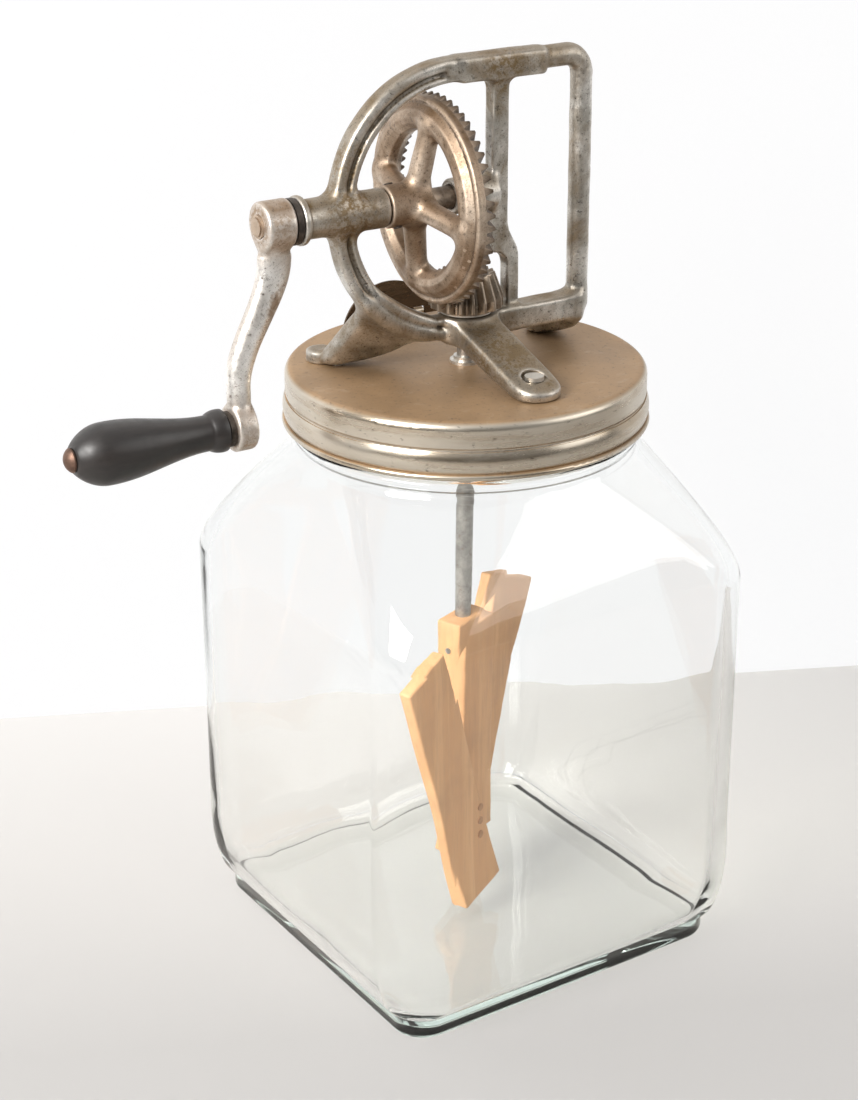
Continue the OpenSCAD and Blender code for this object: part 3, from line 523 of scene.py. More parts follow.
class Field:
    """Distances on a grid, into which shapes are blended one after another."""

    def __init__(self, low, high, step):
        self.step = step
        self.axes = [np.arange(a, b + step, step, dtype=np.float32) for a, b in zip(low, high)]
        self.value = np.full([len(a) for a in self.axes], 99.0, np.float32)

    def block(self, low, high, room):
        spans = []
        for axis, a, b in zip(self.axes, low, high):
            first = int(np.clip((a - room - axis[0]) / self.step, 0, len(axis) - 1))
            last = int(np.clip((b + room - axis[0]) / self.step + 2, 1, len(axis)))
            spans.append(slice(first, last))
        return tuple(spans)

    def add(self, shape, low, high, blend=0.0, cut=False):
        spans = self.block(low, high, blend + 3 * self.step)
        x, y, z = np.meshgrid(*(a[s] for a, s in zip(self.axes, spans)), indexing="ij", sparse=True)
        gap = shape(x, y, z)
        old = self.value[spans]
        if cut:
            self.value[spans] = np.maximum(old, -gap)
        elif blend:
            share = np.clip(0.5 + 0.5 * (old - gap) / blend, 0, 1)
            self.value[spans] = old * (1 - share) + gap * share - blend * share * (1 - share)
        else:
            self.value[spans] = np.minimum(old, gap)

    def skin(self):
        """Points, faces and normals of the zero surface, with one point in each cell that it crosses."""
        v = self.value
        size = np.array(v.shape) - 1
        shifts = [(i, j, k) for i in (0, 1) for j in (0, 1) for k in (0, 1)]
        inside = v < 0
        count = np.zeros(size, np.int8)
        for i, j, k in shifts:
            count += inside[i:size[0] + i, j:size[1] + j, k:size[2] + k]
        cells = np.argwhere((count > 0) & (count < 8))
        index = np.full(size, -1, np.int64)
        index[tuple(cells.T)] = np.arange(len(cells))
        values = [v[tuple((cells + s).T)] for s in shifts]
        total = np.zeros((len(cells), 3))
        hits = np.zeros(len(cells))
        for a, sa in enumerate(shifts):
            for b, sb in enumerate(shifts):
                if b > a and sum(abs(p - q) for p, q in zip(sa, sb)) == 1:
                    cross = (values[a] < 0) != (values[b] < 0)
                    t = np.where(cross, values[a] / np.where(cross, values[a] - values[b], 1), 0)
                    total += cross[:, None] * (np.array(sa) + t[:, None] * (np.array(sb) - np.array(sa)))
                    hits += cross
        low = np.array([a[0] for a in self.axes])
        points = low + self.step * (cells + total / hits[:, None])
        slope = np.stack([sum((1 if s[d] else -1) * values[n] for n, s in enumerate(shifts))
                          for d in range(3)], -1)
        normals = slope / np.maximum(np.linalg.norm(slope, axis=1), 1e-9)[:, None]
        faces = []
        for d in range(3):
            e, f = [k for k in range(3) if k != d]
            start = np.moveaxis(inside, (d, e, f), (0, 1, 2))
            change = start[1:, 1:-1, 1:-1] != start[:-1, 1:-1, 1:-1]
            at = np.argwhere(change)
            look = np.moveaxis(index, (d, e, f), (0, 1, 2))
            i, j, k = at[:, 0], at[:, 1], at[:, 2]
            around = [look[i, j, k], look[i, j + 1, k], look[i, j + 1, k + 1], look[i, j, k + 1]]
            faces.append(np.stack(around, -1))
        return points, np.concatenate(faces), normals


def softened(a, b, edge):
    """The gap to a prism whose two gaps are a and b, with its edges rounded."""
    a, b = a + edge, b + edge
    return np.minimum(np.maximum(a, b), 0) + np.hypot(np.maximum(a, 0), np.maximum(b, 0)) - edge


def tube_x(x0, x1, y, z, r, edge=0.0):
    middle, half = (x0 + x1) / 2, (x1 - x0) / 2
    return lambda px, py, pz: softened(np.hypot(py - y, pz - z) - r, abs(px - middle) - half, edge)


def tube_z(x, y, z0, z1, r, edge=0.0):
    middle, half = (z0 + z1) / 2, (z1 - z0) / 2
    return lambda px, py, pz: softened(np.hypot(px - x, py - y) - r, abs(pz - middle) - half, edge)


def slab(low, high, edge):
    middle = [(a + b) / 2 for a, b in zip(low, high)]
    half = [(b - a) / 2 - edge for a, b in zip(low, high)]

    def gap(x, y, z):
        q = [abs(p - m) - h for p, m, h in zip((x, y, z), middle, half)]
        out = np.sqrt(sum(np.maximum(c, 0) ** 2 for c in q))
        return out + np.minimum(np.maximum(np.maximum(q[0], q[1]), q[2]), 0) - edge
    return gap


def rod(a, b, ra, rb):
    """A round bar from a to b whose radius changes evenly."""
    a, b = np.array(a, float), np.array(b, float)
    d = b - a

    def gap(x, y, z):
        t = np.clip(((x - a[0]) * d[0] + (y - a[1]) * d[1] + (z - a[2]) * d[2]) / (d @ d), 0, 1)
        far = np.sqrt((x - a[0] - t * d[0]) ** 2 + (y - a[1] - t * d[1]) ** 2 + (z - a[2] - t * d[2]) ** 2)
        return far - (ra + (rb - ra) * t)
    return gap


def outline_gap(u, v, points):
    """Signed distance from a place in the plane to a closed outline."""
    best, inside = np.inf, False
    for (u0, v0), (u1, v1) in zip(points, points[1:] + points[:1]):
        du, dv = u1 - u0, v1 - v0
        t = np.clip(((u - u0) * du + (v - v0) * dv) / (du * du + dv * dv), 0, 1)
        best = np.minimum(best, np.hypot(u - u0 - t * du, v - v0 - t * dv))
        slope = du / dv if abs(dv) > 1e-9 else 0.0
        inside = inside ^ (((v0 > v) != (v1 > v)) & (u < u0 + slope * (v - v0)))
    return np.where(inside, -best, best)


def arc_bar(cx, cz, r, start, end, section):
    """A bar bent round (cx, cz) in the frame's plane, between two angles in degrees."""
    middle, half = math.radians((start + end) / 2), math.radians((end - start) / 2)

    def gap(x, y, z):
        reach = np.hypot(x - cx, z - cz)
        off = np.arctan2(z - cz, x - cx) - middle
        off = abs((off + np.pi) % (2 * np.pi) - np.pi) - half
        return np.maximum(section(reach - r, y), off * r)
    return gap


def ribbed(u, y):
    """Section of the arch: a thick outer rib, a thinner inner rib and a web between them."""
    outer = softened(abs(u - 1.7) - 2.3, abs(y) - 4.0, 1.9)
    inner = softened(abs(u + 3.2) - 1.3, abs(y) - 3.5, 1.1)
    web = softened(abs(u) - 3.6, abs(y) - 2.3, 0.4)
    return np.minimum(np.minimum(outer, inner), web)


def ring_of(x, y, z, r, count=20, upright=False):
    turn = 2 * np.pi * np.arange(count) / count
    flat = np.stack([r * np.cos(turn), r * np.sin(turn), 0 * turn], -1)
    return np.array((x, y, z)) + (flat[:, [0, 2, 1]] if upright else flat)


def hull(points, soft):
    """A convex body round points, with its edges softened."""
    points = np.concatenate(points)
    made = bmesh.new()
    for p in points:
        made.verts.new(p)
    bmesh.ops.convex_hull(made, input=made.verts)
    made.normal_update()
    planes = sorted({tuple(round(c, 3) for c in (*f.normal, f.normal.dot(f.verts[0].co)))
                     for f in made.faces})
    made.free()

    def gap(x, y, z):
        far = [nx * x + ny * y + nz * z - d for nx, ny, nz, d in planes]
        top = far[0]
        for f in far[1:]:
            top = np.maximum(top, f)
        return top + soft * np.log(sum(np.exp((f - top) / soft) for f in far))
    return gap, points.min(0), points.max(0)


def foot_rings(place, r):
    return [ring_of(*place, CAP_Z, r), ring_of(*place, CAP_Z + FOOT_T, r)]


# Gear frame, one casting

def add_arch(field):
    """The arch in two sweeps with a straight stretch between them, and the long bearing in it."""
    field.add(arc_bar(ARCH_X, ARCH_Z, ARCH_R, 88, 181, ribbed), (-56, -5, ARCH_Z - 2), (0, 5, TOP_Z + 5))
    half = ARCH_DROP / 2 + 0.1
    field.add(lambda x, y, z: np.maximum(ribbed(ARCH_X - ARCH_R - x, y),
                                         abs(2 * z - ARCH_Z - ARCH_LOW_Z) / 2 - half),
              (-56, -5, ARCH_LOW_Z - 1), (-44, 5, ARCH_Z + 1))
    field.add(arc_bar(ARCH_LOW_X, ARCH_LOW_Z, ARCH_LOW_R, 180, 268, ribbed), (-56, -5, BASE_Z - 1),
              (0, 5, ARCH_Z + 2))
    field.add(tube_x(-BEARING_OUT, -BEARING_IN, 0, SHAFT_Z, BEARING_R, 0.7), (-BEARING_OUT, -7, SHAFT_Z - 7),
              (-BEARING_IN, 7, SHAFT_Z + 7), 4.5)
    field.add(tube_x(-BEARING_OUT, -BEARING_OUT + LIP_T, 0, SHAFT_Z, LIP_R, 0.8),
              (-BEARING_OUT, -9, SHAFT_Z - 9), (-BEARING_OUT + 3, 9, SHAFT_Z + 9), 1.2)


def add_hand_grip(field):
    """The top bar with its plate, the bend and the upright bar that is held."""
    field.add(rod((ARCH_X - 1, 0, TOP_Z), (HANDLE_X - BEND_R, 0, TOP_Z), BAR_R, BAR_R), (-10, -5, TOP_Z - 5),
              (HANDLE_X, 5, TOP_Z + 5), 0.8)
    field.add(slab((-4.5, -4.8, TOP_Z - 5.2), (30.5, 4.8, TOP_Z + 4.0), 1.6), (-5, -5, TOP_Z - 6),
              (31, 5, TOP_Z + 6), 2.2)
    round_bar = lambda u, y: np.hypot(u, y) - BAR_R
    field.add(arc_bar(HANDLE_X - BEND_R, TOP_Z - BEND_R, BEND_R, -2, 92, round_bar),
              (HANDLE_X - BEND_R - 2, -5, TOP_Z - BEND_R - 2), (HANDLE_X + 5, 5, TOP_Z + 5))
    field.add(rod((HANDLE_X, 0, BASE_Z + 6), (HANDLE_X, 0, TOP_Z - BEND_R), BAR_R, BAR_R),
              (HANDLE_X - 5, -5, BASE_Z), (HANDLE_X + 5, 5, TOP_Z), 0.6)


def add_post(field):
    """The post that goes round the pinion, with the short bearing, and the base with its hub."""
    window = PINION_TOP + COLLAR_H + 1.6
    bulge_in = CONE_OUT * (math.sin(PINION_CONE) + TIP_SLOPE * math.cos(PINION_CONE)) + 2.4
    bulge_out = bulge_in + 5
    post = [(POST_IN, TOP_Z), (POST_OUT, TOP_Z), (POST_OUT, window + 9), (bulge_out, window),
            (bulge_out, BASE_Z + 1), (bulge_in, BASE_Z + 1), (bulge_in, window - 3), (bulge_in - 3, window),
            (POST_IN, window)]
    post = [tuple(p) for p in round_corners(post, 2.8)]
    field.add(lambda x, y, z: softened(outline_gap(x, z, post), abs(y) - POST_T / 2, 0.9),
              (POST_IN, -4, BASE_Z), (bulge_out, 4, TOP_Z), 3.2)
    field.add(tube_x(-7, POST_IN + 2, 0, SHAFT_Z, 6.5, 1.0), (-7, -7, SHAFT_Z - 7),
              (POST_IN + 2, 7, SHAFT_Z + 7), 2.6)
    low, high = (-5, -5, BASE_Z), (HANDLE_X, 5, BASE_TOP)
    field.add(slab(low, high, 1.6), low, high, 2.6)
    field.add(tube_z(0, 0, BASE_Z, BASE_TOP, HUB_R, 0.9), (-HUB_R, -HUB_R, BASE_Z), (HUB_R, HUB_R, BASE_TOP),
              2.6)


def add_legs(field):
    """The left leg with its toe, the right leg and the front leg."""
    arch_low = [(ARCH_LOW_X + ARCH_LOW_R * math.cos(a), ARCH_LOW_Z + ARCH_LOW_R * math.sin(a))
                for a in map(math.radians, LEG_ANGLES)]
    left = [ring_of(x, s * 3.5, z, 3.4, upright=True) for x, z in arch_low for s in (-1, 1)]
    heel = [0.7 * c for c in LEFT_FOOT]
    left += [ring_of(*heel, CAP_Z + 2.5 + h, 7) for h in (0, FOOT_T)]
    gap, low, high = hull(left + foot_rings(LEFT_FOOT, FOOT_R), 1.0)
    field.add(gap, low, high, 5.5)
    toe = (LEFT_FOOT[0] - 2.5, LEFT_FOOT[1] + 7.6)
    field.add(tube_z(*toe, CAP_Z - 2, CAP_Z + TOE_T, TOE_R, 1.1), (toe[0] - 6, toe[1] - 6, CAP_Z - 1),
              (toe[0] + 6, toe[1] + 6, CAP_Z + 5), 2.6)
    right = [ring_of(HANDLE_X - 2, 0, z, BAR_R) for z in (CAP_Z + FOOT_T, BASE_TOP - 0.7)]
    gap, low, high = hull(right + foot_rings(RIGHT_FOOT, FOOT_R), 0.9)
    field.add(gap, low, high, 5.0)
    root = [np.array([(x, y, z) for x in (-9.8, 9.6) for y in (-9.3, 0)
                      for z in (BASE_Z + 0.7, BASE_TOP - 0.7)])]
    gap, low, high = hull(root + foot_rings(FRONT_FOOT, FRONT_FOOT_R), 0.7)
    field.add(gap, low, high, 4.5)


def cut_bores(field):
    """Room for the pinion, the bores of the shaft and the rod, and the seat of the front rivet."""
    field.add(tube_z(0, 0, BASE_TOP, BASE_TOP + 3, 14.5), (-15, -15, BASE_TOP), (15, 15, BASE_TOP + 3),
              cut=True)
    field.add(tube_x(-BEARING_OUT - 3, POST_IN - 1, 0, SHAFT_Z, SHAFT_R + BORE_GAP), (-70, -5, SHAFT_Z - 5),
              (POST_IN, 5, SHAFT_Z + 5), cut=True)
    field.add(tube_z(0, 0, CAP_Z - 3, BASE_TOP + 3, ROD_R + BORE_GAP), (-4, -4, CAP_Z - 2),
              (4, 4, BASE_TOP + 3), cut=True)
    seat = CAP_Z + FOOT_T + 1
    field.add(tube_z(*FRONT_FOOT, seat, BASE_TOP, 4.4), (-5, -49, seat), (6, -38, BASE_TOP), cut=True)


def make_frame():
    field = Field((-69, -54.5, CAP_Z - 1.5), (53.5, 36, TOP_Z + 7.5), 0.6)
    for step in (add_arch, add_hand_grip, add_post, add_legs, cut_bores):
        step(field)
    field.value = np.maximum(field.value, (CAP_Z - field.axes[2])[None, None, :])
    points, faces, normals = field.skin()
    free = (points[:, 2] > CAP_Z + 0.8)[:, None]
    points = np.where(free, rough_cast(points, normals, 0.3, 9.0), points)
    return piece("frame_casting", points, faces, "cap_unit", frame_iron, ["gear_frame"])


# Bevel gears

def cone_point(cone, g, n):
    return (g * (math.sin(cone) + n * math.cos(cone)), g * (math.cos(cone) - n * math.sin(cone)))


def tooth_mesh(cone, bevel, past):
    """One tooth with rounded edges and its tip outwards, which runs past the cone's large end."""
    flank = math.tan(math.radians(20))
    low = -ROOT_SLOPE - 0.8 / CONE_OUT
    made = bmesh.new()
    ends = [(CONE_IN, 0.0), (CONE_OUT, 0.0)] + ([(CONE_OUT, past)] if past else [])
    for g, more in ends:
        for n in (low, TIP_SLOPE):
            for s in (-1, 1):
                r, h = cone_point(cone, g, n)
                made.verts.new((r, g * s * (HALF_TOOTH - n * flank), h + more))
    bmesh.ops.convex_hull(made, input=made.verts)
    bmesh.ops.delete(made, geom=[v for v in made.verts if not v.link_faces], context="VERTS")
    bmesh.ops.dissolve_limit(made, angle_limit=0.02, verts=made.verts, edges=made.edges)
    bmesh.ops.bevel(made, geom=list(made.edges), offset=bevel, segments=3, profile=0.6, affect="EDGES")
    return taken(made)


def toothed(cone, count, first, bevel, past=0.0):
    points, faces = tooth_mesh(cone, bevel, past)
    all_points, all_faces = [], []
    for k in range(count):
        all_faces += [[i + k * len(points) for i in f] for f in faces]
        all_points.append(turned(points, math.pi + 2 * math.pi * (k + first) / count))
    return np.concatenate(all_points), all_faces


def make_wheel():
    front = -HUB_X1 + 2.4
    edge = cone_point(WHEEL_CONE, CONE_OUT, -ROOT_SLOPE)[0]
    section = [cone_point(WHEEL_CONE, CONE_IN, -ROOT_SLOPE), cone_point(WHEEL_CONE, CONE_OUT, -ROOT_SLOPE),
               (edge, front - 2.6), (edge - 1.2, front - 1.9), (edge - 2.2, front - 2.5),
               (edge - 3.2, front - 1.4), (edge - 4.4, front), (edge - 7, front + 0.9),
               (RIM_IN_R + 3, front + 0.4), (RIM_IN_R + 0.8, front - 1.4), (RIM_IN_R, front - 4),
               (RIM_IN_R + 1, front - 7)]
    field = Field((-35, -39, SHAFT_Z - 39), (-6, 39, SHAFT_Z + 39), 0.45)
    low, high = (-33.5, -38, SHAFT_Z - 38), (-7, 38, SHAFT_Z + 38)
    field.add(lambda x, y, z: outline_gap(np.hypot(y, z - SHAFT_Z), -x, section) - 0.05, low, high)
    field.add(tube_x(HUB_X0, HUB_X1, 0, SHAFT_Z, WHEEL_HUB_R, 0.8), low, high, 0.5)
    spoke_x, reach = HUB_X1 - 4.5, 28
    rise = reach * math.tan(math.radians(9))
    for k in range(4):
        a = math.radians(10 + 90 * k)
        end = (spoke_x + rise, reach * math.cos(a), SHAFT_Z + reach * math.sin(a))
        field.add(rod((spoke_x, 0, SHAFT_Z), end, 4.3, 3.7), low, high, 3.4)
    field.add(tube_x(HUB_X0 - 3, HUB_X1 + 3, 0, SHAFT_Z, SHAFT_R), low, high, cut=True)
    points, faces, normals = field.skin()
    points = rough_cast(points, normals, 0.16, 7.0)
    teeth, tooth_faces = toothed(WHEEL_CONE, WHEEL_TEETH, 0, 0.3)
    points, faces = joined(points, faces, along_x(teeth, 0, SHAFT_Z), tooth_faces)
    return piece("bevel_wheel", points, faces, "crank", gear_iron, ["drive_wheel"])


def make_pinion():
    bore = ROD_R + 0.02
    base = SHAFT_Z - WHEEL_R - PINION_BASE_T
    small_r, small_h = cone_point(PINION_CONE, CONE_IN, -ROOT_SLOPE)
    large_r, large_h = cone_point(PINION_CONE, CONE_OUT, -ROOT_SLOPE)
    outline = [(bore, base), (large_r, base), (large_r, SHAFT_Z - large_h), (small_r, SHAFT_Z - small_h),
               (COLLAR_R, PINION_TOP), (COLLAR_R, PINION_TOP + COLLAR_H), (bore, PINION_TOP + COLLAR_H)]
    points, faces = revolve(round_corners(outline, 0.5), 72)
    teeth, tooth_faces = toothed(PINION_CONE, PINION_TEETH, 0.5, 0.25, TOOTH_PAST)
    teeth = np.stack([teeth[:, 0], -teeth[:, 1], SHAFT_Z - teeth[:, 2]], -1)
    points, faces = joined(points, faces, teeth, tooth_faces)
    return piece("bevel_pinion", points, faces, "dasher", pinion_iron, ["pinion"])


# Crank

def make_crank():
    field = Field((EYE_X - 7, -10.5, GRIP_Z - 10.5), (BOSS_X1 + 2, 10.5, SHAFT_Z + 10.5), 0.5)

    def arm(x, y, z):
        t = np.clip((SHAFT_Z - z) / (SHAFT_Z - GRIP_Z), 0, 1)
        u = np.clip((t - 0.16) / 0.62, 0, 1)
        s = u * u * (3 - 2 * u)
        half = np.minimum(ARM_W / 2 - 2 * u * u, np.minimum(
            (BOSS_X1 - BOSS_X0) / 2 - 0.3 + 0.5 * np.maximum(0, t * THROW - BOSS_R),
            EYE_T / 2 - 0.3 + 0.5 * np.maximum(0, (1 - t) * THROW - EYE_R)))
        off = np.hypot((x - BOSS_X - (EYE_X - BOSS_X) * s) / half, y / (ARM_T / 2))
        return np.maximum((off - 1) * 4.0, np.maximum(GRIP_Z - z, z - SHAFT_Z))

    low, high = (EYE_X - 5, -9, GRIP_Z - 9), (BOSS_X1, 9, SHAFT_Z + 9)
    field.add(arm, low, high)
    field.add(tube_x(BOSS_X0, BOSS_X1, 0, SHAFT_Z, BOSS_R, 1.4), low, high, 2.4)
    field.add(tube_x(EYE_X - EYE_T / 2, EYE_X + EYE_T / 2, 0, GRIP_Z, EYE_R, 1.3), low, high, 2.4)
    field.add(tube_x(BOSS_X0 - 10, BOSS_X1 + 10, 0, SHAFT_Z, SHAFT_R), low, high, cut=True)
    field.add(tube_x(EYE_X - 9, EYE_X + 9, 0, GRIP_Z, 2.5), low, high, cut=True)
    points, faces, normals = field.skin()
    inner = np.hypot(points[:, 1], points[:, 2] - SHAFT_Z) < SHAFT_R + 0.5
    points = np.where(inner[:, None], points, rough_cast(points, normals, 0.3, 8.0))
    return piece("crank_casting", points, faces, "crank", crank_iron, ["crank_arm"])


def grip_radius(u):
    belly = GRIP_NECK_R + (GRIP_R - GRIP_NECK_R) * math.sin(math.pi * max(0, u - 0.12) / 1.3) ** 2
    lip = 1.3 * max(0, math.cos(math.pi / 2 * min(1, abs(u - 0.035) / 0.075))) ** 0.7
    end = 1 if u < 0.8 else math.sqrt(1 - ((u - 0.8) / 0.235) ** 2)
    return (belly + lip) * end


def make_grip():
    bore, lead, steps = GRIP_BORE_R, 0.4, 110
    side = [(grip_radius(k / steps), GRIP_L * k / steps) for k in range(1, steps + 1)]
    outline = [(bore, lead), (bore + lead, 0.0)] + side + [(bore + lead, GRIP_L), (bore, GRIP_L - lead)]
    points, faces = revolve(outline, 96)
    thing = piece("turned_grip", along_x(points, GRIP_X1, GRIP_Z), faces, "crank_grip",
                  black_wood, ["grip"])
    sharpen(thing, 50)
    return thing


# Jar

def square_ring(z, half, r, corner=22, flat=8):
    """Points round a square with rounded corners, with points along its flats too."""
    out = []
    for q in range(4):
        s = math.pi / 2 * q + math.pi / 4
        cx, cy = math.copysign(half - r, math.cos(s)), math.copysign(half - r, math.sin(s))
        arc = [(cx + r * math.cos(a), cy + r * math.sin(a))
               for a in np.linspace(math.pi / 2 * q, math.pi / 2 * (q + 1), corner)]
        s2 = s + math.pi / 2
        nx, ny = math.copysign(half - r, math.cos(s2)), math.copysign(half - r, math.sin(s2))
        a = math.pi / 2 * (q + 1)
        nx, ny = nx + r * math.cos(a), ny + r * math.sin(a)
        ex, ey = arc[-1]
        side = [(ex + (nx - ex) * k / (flat + 1), ey + (ny - ey) * k / (flat + 1))
                for k in range(1, flat + 1)]
        out += arc + side
    return np.array([(x, y, z) for x, y in out])


def neck_ring(z, r):
    ring = square_ring(z, r, r - 0.3)
    turn = np.arctan2(ring[:, 1], ring[:, 0]) / (2 * np.pi)
    rise = (z - NECK_Z - 7.5) / THREAD_PITCH - turn
    near = rise - np.round(rise)
    ridge = ((rise > 0.3) & (rise < 1.9)) * THREAD_H * np.maximum(0, np.cos(np.pi * near)) ** 4
    ring[:, :2] *= (1 + ridge / r)[:, None]
    return ring


def between(a, b, t):
    return a + (b - a) * t


def make_jar():
    shoulder = lambda t: (1 + SHOULDER_SOFT) * t * t / (t + SHOULDER_SOFT)
    foot = [(0, 9, 4), (0, 2.5, 1.5), (0.25, 1.5, 0.9), (0.8, 0.7, 0.4), (1.6, 0.2, 0.1), (2.6, 0, 0)]
    rings = [square_ring(z, FOOT_W / 2 - less, FOOT_CORNER - ease) for z, less, ease in foot]
    sweep = math.pi / 2 - HEEL_START
    for a in np.linspace(HEEL_START, math.pi / 2, 18):
        rise = (1 - math.cos(a - HEEL_START)) / (1 - math.cos(sweep))
        wide = (math.sin(a) - math.sin(HEEL_START)) / (1 - math.sin(HEEL_START))
        rings.append(square_ring(HEEL_Z + HEEL_H * rise, between(FOOT_W / 2, JAR_W / 2, wide),
                                 between(FOOT_CORNER, JAR_CORNER, (a - HEEL_START) / sweep)))
    for z in np.linspace(HEEL_Z + HEEL_H, BODY_H, 14)[1:-1]:
        rings.append(square_ring(z, JAR_W / 2, JAR_CORNER))
    for t in np.linspace(0, 1, 26):
        rings.append(square_ring(BODY_H + SHOULDER_H * t * 0.98, between(JAR_W / 2, NECK_R, shoulder(t)),
                                 between(JAR_CORNER, NECK_R - 0.3, shoulder(t))))
    for a in np.linspace(0, math.pi, 10):
        rings.append(neck_ring(NECK_Z + 2.6 - 2 * math.cos(a), NECK_R + 1.6 * math.sin(a) + 0.1))
    for z in np.arange(NECK_Z + 5.6, RIM_Z - 2.0, 0.6):
        rings.append(neck_ring(z, NECK_R))
    lip = [(1.2, 0.0), (0.3, 0.4), (0.0, 1.2)]
    rings += [neck_ring(RIM_Z - drop, NECK_R - less) for drop, less in lip]
    rings += [neck_ring(RIM_Z - drop, MOUTH_R + more) for drop, more in reversed(lip)]
    inside_from = len(rings)
    for z in np.linspace(RIM_Z - 6, NECK_Z + 2, 4):
        rings.append(square_ring(z, MOUTH_R, MOUTH_R - 0.3))
    for t in np.linspace(1, 0, 26):
        rings.append(square_ring(BODY_H - 1 + SHOULDER_H * t * 0.96, between(JAR_IN, MOUTH_R, shoulder(t)),
                                 between(CORNER_IN, MOUTH_R - 0.3, shoulder(t))))
    for z in np.linspace(BODY_H - 1, FLOOR_T + HEEL_IN_H, 14)[1:-1]:
        rings.append(square_ring(z, JAR_IN, CORNER_IN))
    for a in np.linspace(math.pi / 2, 0, 18):
        rings.append(square_ring(FLOOR_T + HEEL_IN_H * (1 - math.cos(a)),
                                 between(FLOOR_IN, JAR_IN, math.sin(a)),
                                 between(FLOOR_CORNER, CORNER_IN, a / (math.pi / 2))))
    for share in (0.8, 0.55, 0.3):
        rings.append(square_ring(FLOOR_T, FLOOR_IN * share, FLOOR_CORNER * share))
    count = len(rings[0])
    points = np.concatenate(rings)
    waves = np.array([noise.noise(Vector(p) / 34.0 + Vector((7.0, 0, 0))) for p in points])
    inner = np.arange(len(points)) >= inside_from * count
    body = (points[:, 2] > 14) & (points[:, 2] < NECK_Z - 4)
    move = np.where(body, np.where(inner, 0.0045 * waves, -0.0012 * (1 + waves)), 0.0)
    points[:, :2] *= (1 + move)[:, None]
    points = turned(points, JAR_TURN)
    i, j = np.meshgrid(np.arange(len(rings) - 1), np.arange(count), indexing="ij")
    j2 = (j + 1) % count
    faces = np.stack([i * count + j, i * count + j2, (i + 1) * count + j2, (i + 1) * count + j], -1)
    last = (len(rings) - 1) * count
    faces = faces.reshape(-1, 4).tolist() + [list(range(count))[::-1], list(range(last, last + count))]
    return piece("glass_jar", points, faces, "jar", glass, ["jar"])


# Dasher

def board(name, size, place, lean, material, replaced):
    """A sawn board with worn edges and slightly bowed faces."""
    made = bmesh.new()
    bmesh.ops.create_cube(made, size=1.0)
    bmesh.ops.scale(made, vec=Vector(size) - Vector((0.1, 0.1, 0.1)), verts=made.verts)
    bmesh.ops.bevel(made, geom=list(made.edges), offset=0.9, segments=3, profile=0.55, affect="EDGES")
    long_edges = [e for e in made.edges if e.calc_length() > 20]
    bmesh.ops.subdivide_edges(made, edges=long_edges, cuts=24, use_grid_fill=True)
    for v in made.verts:
        v.co.x -= math.copysign(0.22, v.co.x) * (0.5 + 0.5 * noise.noise(v.co / 15))
        v.co.y -= math.copysign(0.12, v.co.y) * (0.5 + 0.5 * noise.noise(v.co / 15 + Vector((5, 0, 0))))
    points, faces = taken(made)
    move = Matrix.Rotation(DASHER_TURN, 4, "Z") @ Matrix.Translation(place) @ Matrix.Rotation(lean, 4, "Y")
    points = [move @ Vector(p) for p in points]
    thing = piece(name, points, faces, "dasher", material, replaced)
    sharpen(thing, 40)
    return thing


def make_dasher():
    off = (BLOCK_T + SLAT_T) / 2
    block, slat = (BLOCK_W, BLOCK_T, BLOCK_L), (SLAT_W, SLAT_T, SLAT_L)
    board("wooden_block", block, (0, 0, BLOCK_Z + BLOCK_L / 2), 0, wood_block, ["dasher_hub"])
    board("front_slat", slat, (-SLAT_OFF, -off, SLAT_Z), -SLAT_LEAN, wood_front, ["front_blade"])
    board("back_slat", slat, (SLAT_OFF, off, SLAT_Z + SLAT_STEP), SLAT_LEAN, wood_back, ["back_blade"])


make_frame()
make_wheel()
make_pinion()
make_crank()
make_grip()
make_jar()
make_dasher()

# CAD nodes that keep their shape
KEPT = {
    "sealing_ring": seal_rubber, "cap": tin, "strainer_screen": steel, "flap_bracket": tin, "flap_pin": steel,
    "pour_flap": dark_tin, "frame_rivets": frame_iron, "shaft_ferrule": steel, "crank_shaft": gear_iron,
    "crank_washer": dark_steel, "grip_spindle": rivet_copper, "grip_washer": dark_steel,
    "wheel_pin": dark_steel, "pinion_pin": dark_steel, "thrust_washer": steel, "dasher_shaft": rod_steel,
    "dasher_pin": rod_steel, "blade_nails": rust_steel,
}
for name, material in KEPT.items():
    slots = nodes[name].material_slots
    for slot in slots:
        slot.material = material
    if not slots:
        nodes[name].data.materials.append(material)


# Stage, light and camera

FLOOR_DROP, FADE = 0.25, 400.0
WALL_A, WALL_B = Vector((-99.3, 245.7, -FLOOR_DROP)), Vector((275.0, 83.7, -FLOOR_DROP))
run = (WALL_B - WALL_A).normalized()
forward = Vector((run.y, -run.x, 0))
WALL_MORE, WALL_H, FLOOR_MORE, FLOOR_REACH = 3000, 2600, 1300, 1500


def stage_plane(name, corners, material):
    mesh = bpy.data.meshes.new(name)
    mesh.from_pydata([Vector(c) * MM for c in corners], [], [(0, 1, 2, 3)])
    mesh.materials.append(material)
    plane = bpy.data.objects.new(name, mesh)
    scene.collection.objects.link(plane)


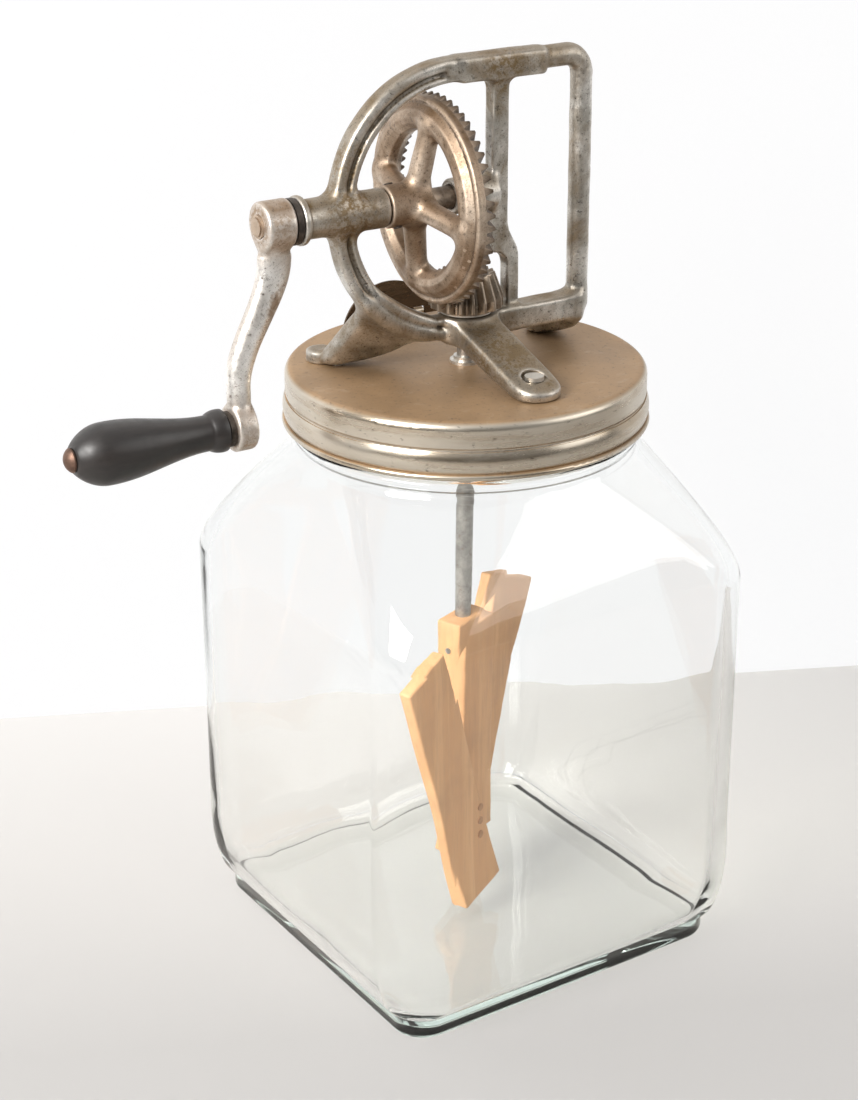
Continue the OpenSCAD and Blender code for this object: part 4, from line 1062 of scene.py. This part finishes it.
def stage_look(name, colours, seen, camera_share, metal_share, glass_share, one_sided=False):
    """A painted surface, part of which shows as plain light to the camera, in metal and through glass.

    Its colours run from the wall's foot to FADE in front of it; on the floor they paint light falling off
    away from the wall.
    """
    look = Look(name, roughness=0.6, specular_ior_level=0.2)
    away = look.add("ShaderNodeVectorMath", operation="DOT_PRODUCT")
    look.link(look.coords(shift=-WALL_A * MM), away.inputs[0])
    away.inputs[1].default_value = forward / (FADE * MM)
    stops = [k / (len(seen) - 1) for k in range(len(seen))]
    look.set("Base Color", look.ramp(away.outputs["Value"], *zip(stops, colours)))
    path = look.add("ShaderNodeLightPath")
    seen_first = look.sum("LESS_THAN", path.outputs["Diffuse Depth"], 0.5)
    share = look.sum("MAXIMUM", look.sum("MULTIPLY", path.outputs["Is Glossy Ray"], metal_share),
                     look.sum("MULTIPLY", path.outputs["Is Transmission Ray"], glass_share))
    share = look.sum("MAXIMUM", look.sum("MULTIPLY", share, seen_first),
                     look.sum("MULTIPLY", path.outputs["Is Camera Ray"], camera_share))
    plain = look.add("ShaderNodeEmission")
    look.link(look.ramp(away.outputs["Value"], *zip(stops, seen)), plain.inputs["Color"])
    both = look.blend(share, look.shader.outputs[0], plain.outputs[0])
    if one_sided:
        clear = look.add("ShaderNodeBsdfTransparent")
        both = look.blend(look.add("ShaderNodeNewGeometry").outputs["Backfacing"], both, clear.outputs[0])
    look.link(both, look.output.inputs["Surface"])
    return look.material


# The floor darkens from the wall's foot forwards: a painted fall-off of light, which also paints shade on the
# floor under the jar.
floor_falloff_colours = [(0.57, 0.555, 0.54), (0.47, 0.452, 0.432), (0.40, 0.388, 0.375), (0.40, 0.388, 0.375)]
floor_falloff_seen = [(0.99, 0.97, 0.955), (0.92, 0.90, 0.885), (0.69, 0.675, 0.665), (0.69, 0.675, 0.665)]
floor_paint = stage_look("floor_paint", floor_falloff_colours, floor_falloff_seen, 0.5, 0.0, 0.25)
left, right = WALL_A - run * FLOOR_MORE, WALL_B + run * FLOOR_MORE
front = forward * FLOOR_REACH
stage_plane("floor", [left + front, right + front, right - front, left - front], floor_paint)
wall_paint = stage_look("wall_paint", [(0.86, 0.86, 0.86)] * 2, [(0.98, 0.98, 0.985)] * 2, 0.93, 0.6, 1.0,
                        one_sided=True)
left, right = WALL_A - run * WALL_MORE, WALL_B + run * WALL_MORE
high = Vector((0, 0, WALL_H))
stage_plane("wall", [left, right, right + high, left + high], wall_paint)


def area_lamp(name, place, target, size, power, colour):
    lamp = bpy.data.lights.new(name, "AREA")
    lamp.shape = "RECTANGLE"
    lamp.size, lamp.size_y = size[0] * MM, size[1] * MM
    lamp.energy = power
    lamp.color = colour
    thing = bpy.data.objects.new(name, lamp)
    thing.location = Vector(place) * MM
    thing.rotation_euler = (Vector(target) - Vector(place)).to_track_quat("-Z", "Y").to_euler()
    scene.collection.objects.link(thing)


area_lamp("window", (-1250, -380, 1000), (0, 0, 170), (700, 700), 37, (1.0, 0.985, 0.96))
area_lamp("bounce", (900, -900, 800), (0, 0, 150), (900, 900), 6, (1.0, 0.98, 0.95))

world = bpy.data.worlds.new("room")
scene.world = world
room = Nodes(world)
back = room.tree.nodes["Background"]
height = room.add("ShaderNodeSeparateXYZ")
room.link(room.add("ShaderNodeTexCoord").outputs["Generated"], height.inputs[0])
shade = room.ramp(height.outputs[2], (0.0, (0.16, 0.155, 0.15)), (0.8, (0.95, 0.95, 0.95)))

# The camera sees plain white, and so do rays through glass that haven't met a matt surface yet
rays = room.add("ShaderNodeLightPath")
seen_first = room.sum("LESS_THAN", rays.outputs["Diffuse Depth"], 0.5)
clear_view = room.sum("MULTIPLY", rays.outputs["Is Transmission Ray"], seen_first)
plain_view = room.sum("MAXIMUM", clear_view, rays.outputs["Is Camera Ray"])
room.link(room.mix(plain_view, shade, (1.56, 1.6, 1.56)), back.inputs["Color"])
back.inputs["Strength"].default_value = 0.55

FOCAL_PX, FRAME_H, SENSOR = 2310.96, 1100, 36.0
ROLL = math.radians(-0.21)
lens = bpy.data.cameras.new("camera")
lens.sensor_fit = "VERTICAL"
lens.sensor_height = SENSOR
lens.lens = SENSOR * FOCAL_PX / FRAME_H
lens.clip_end = 50
camera = bpy.data.objects.new("camera", lens)
scene.collection.objects.link(camera)
scene.camera = camera
eye, aim = Vector((-413.9, -669.5, 494.1)), Vector((-11.5, 6.85, 153.2))
camera.location = eye * MM
look_at = (aim - eye).to_track_quat("-Z", "Y")
camera.rotation_euler = (look_at @ Euler((0, 0, ROLL)).to_quaternion()).to_euler()
scene.view_settings.view_transform = "Standard"
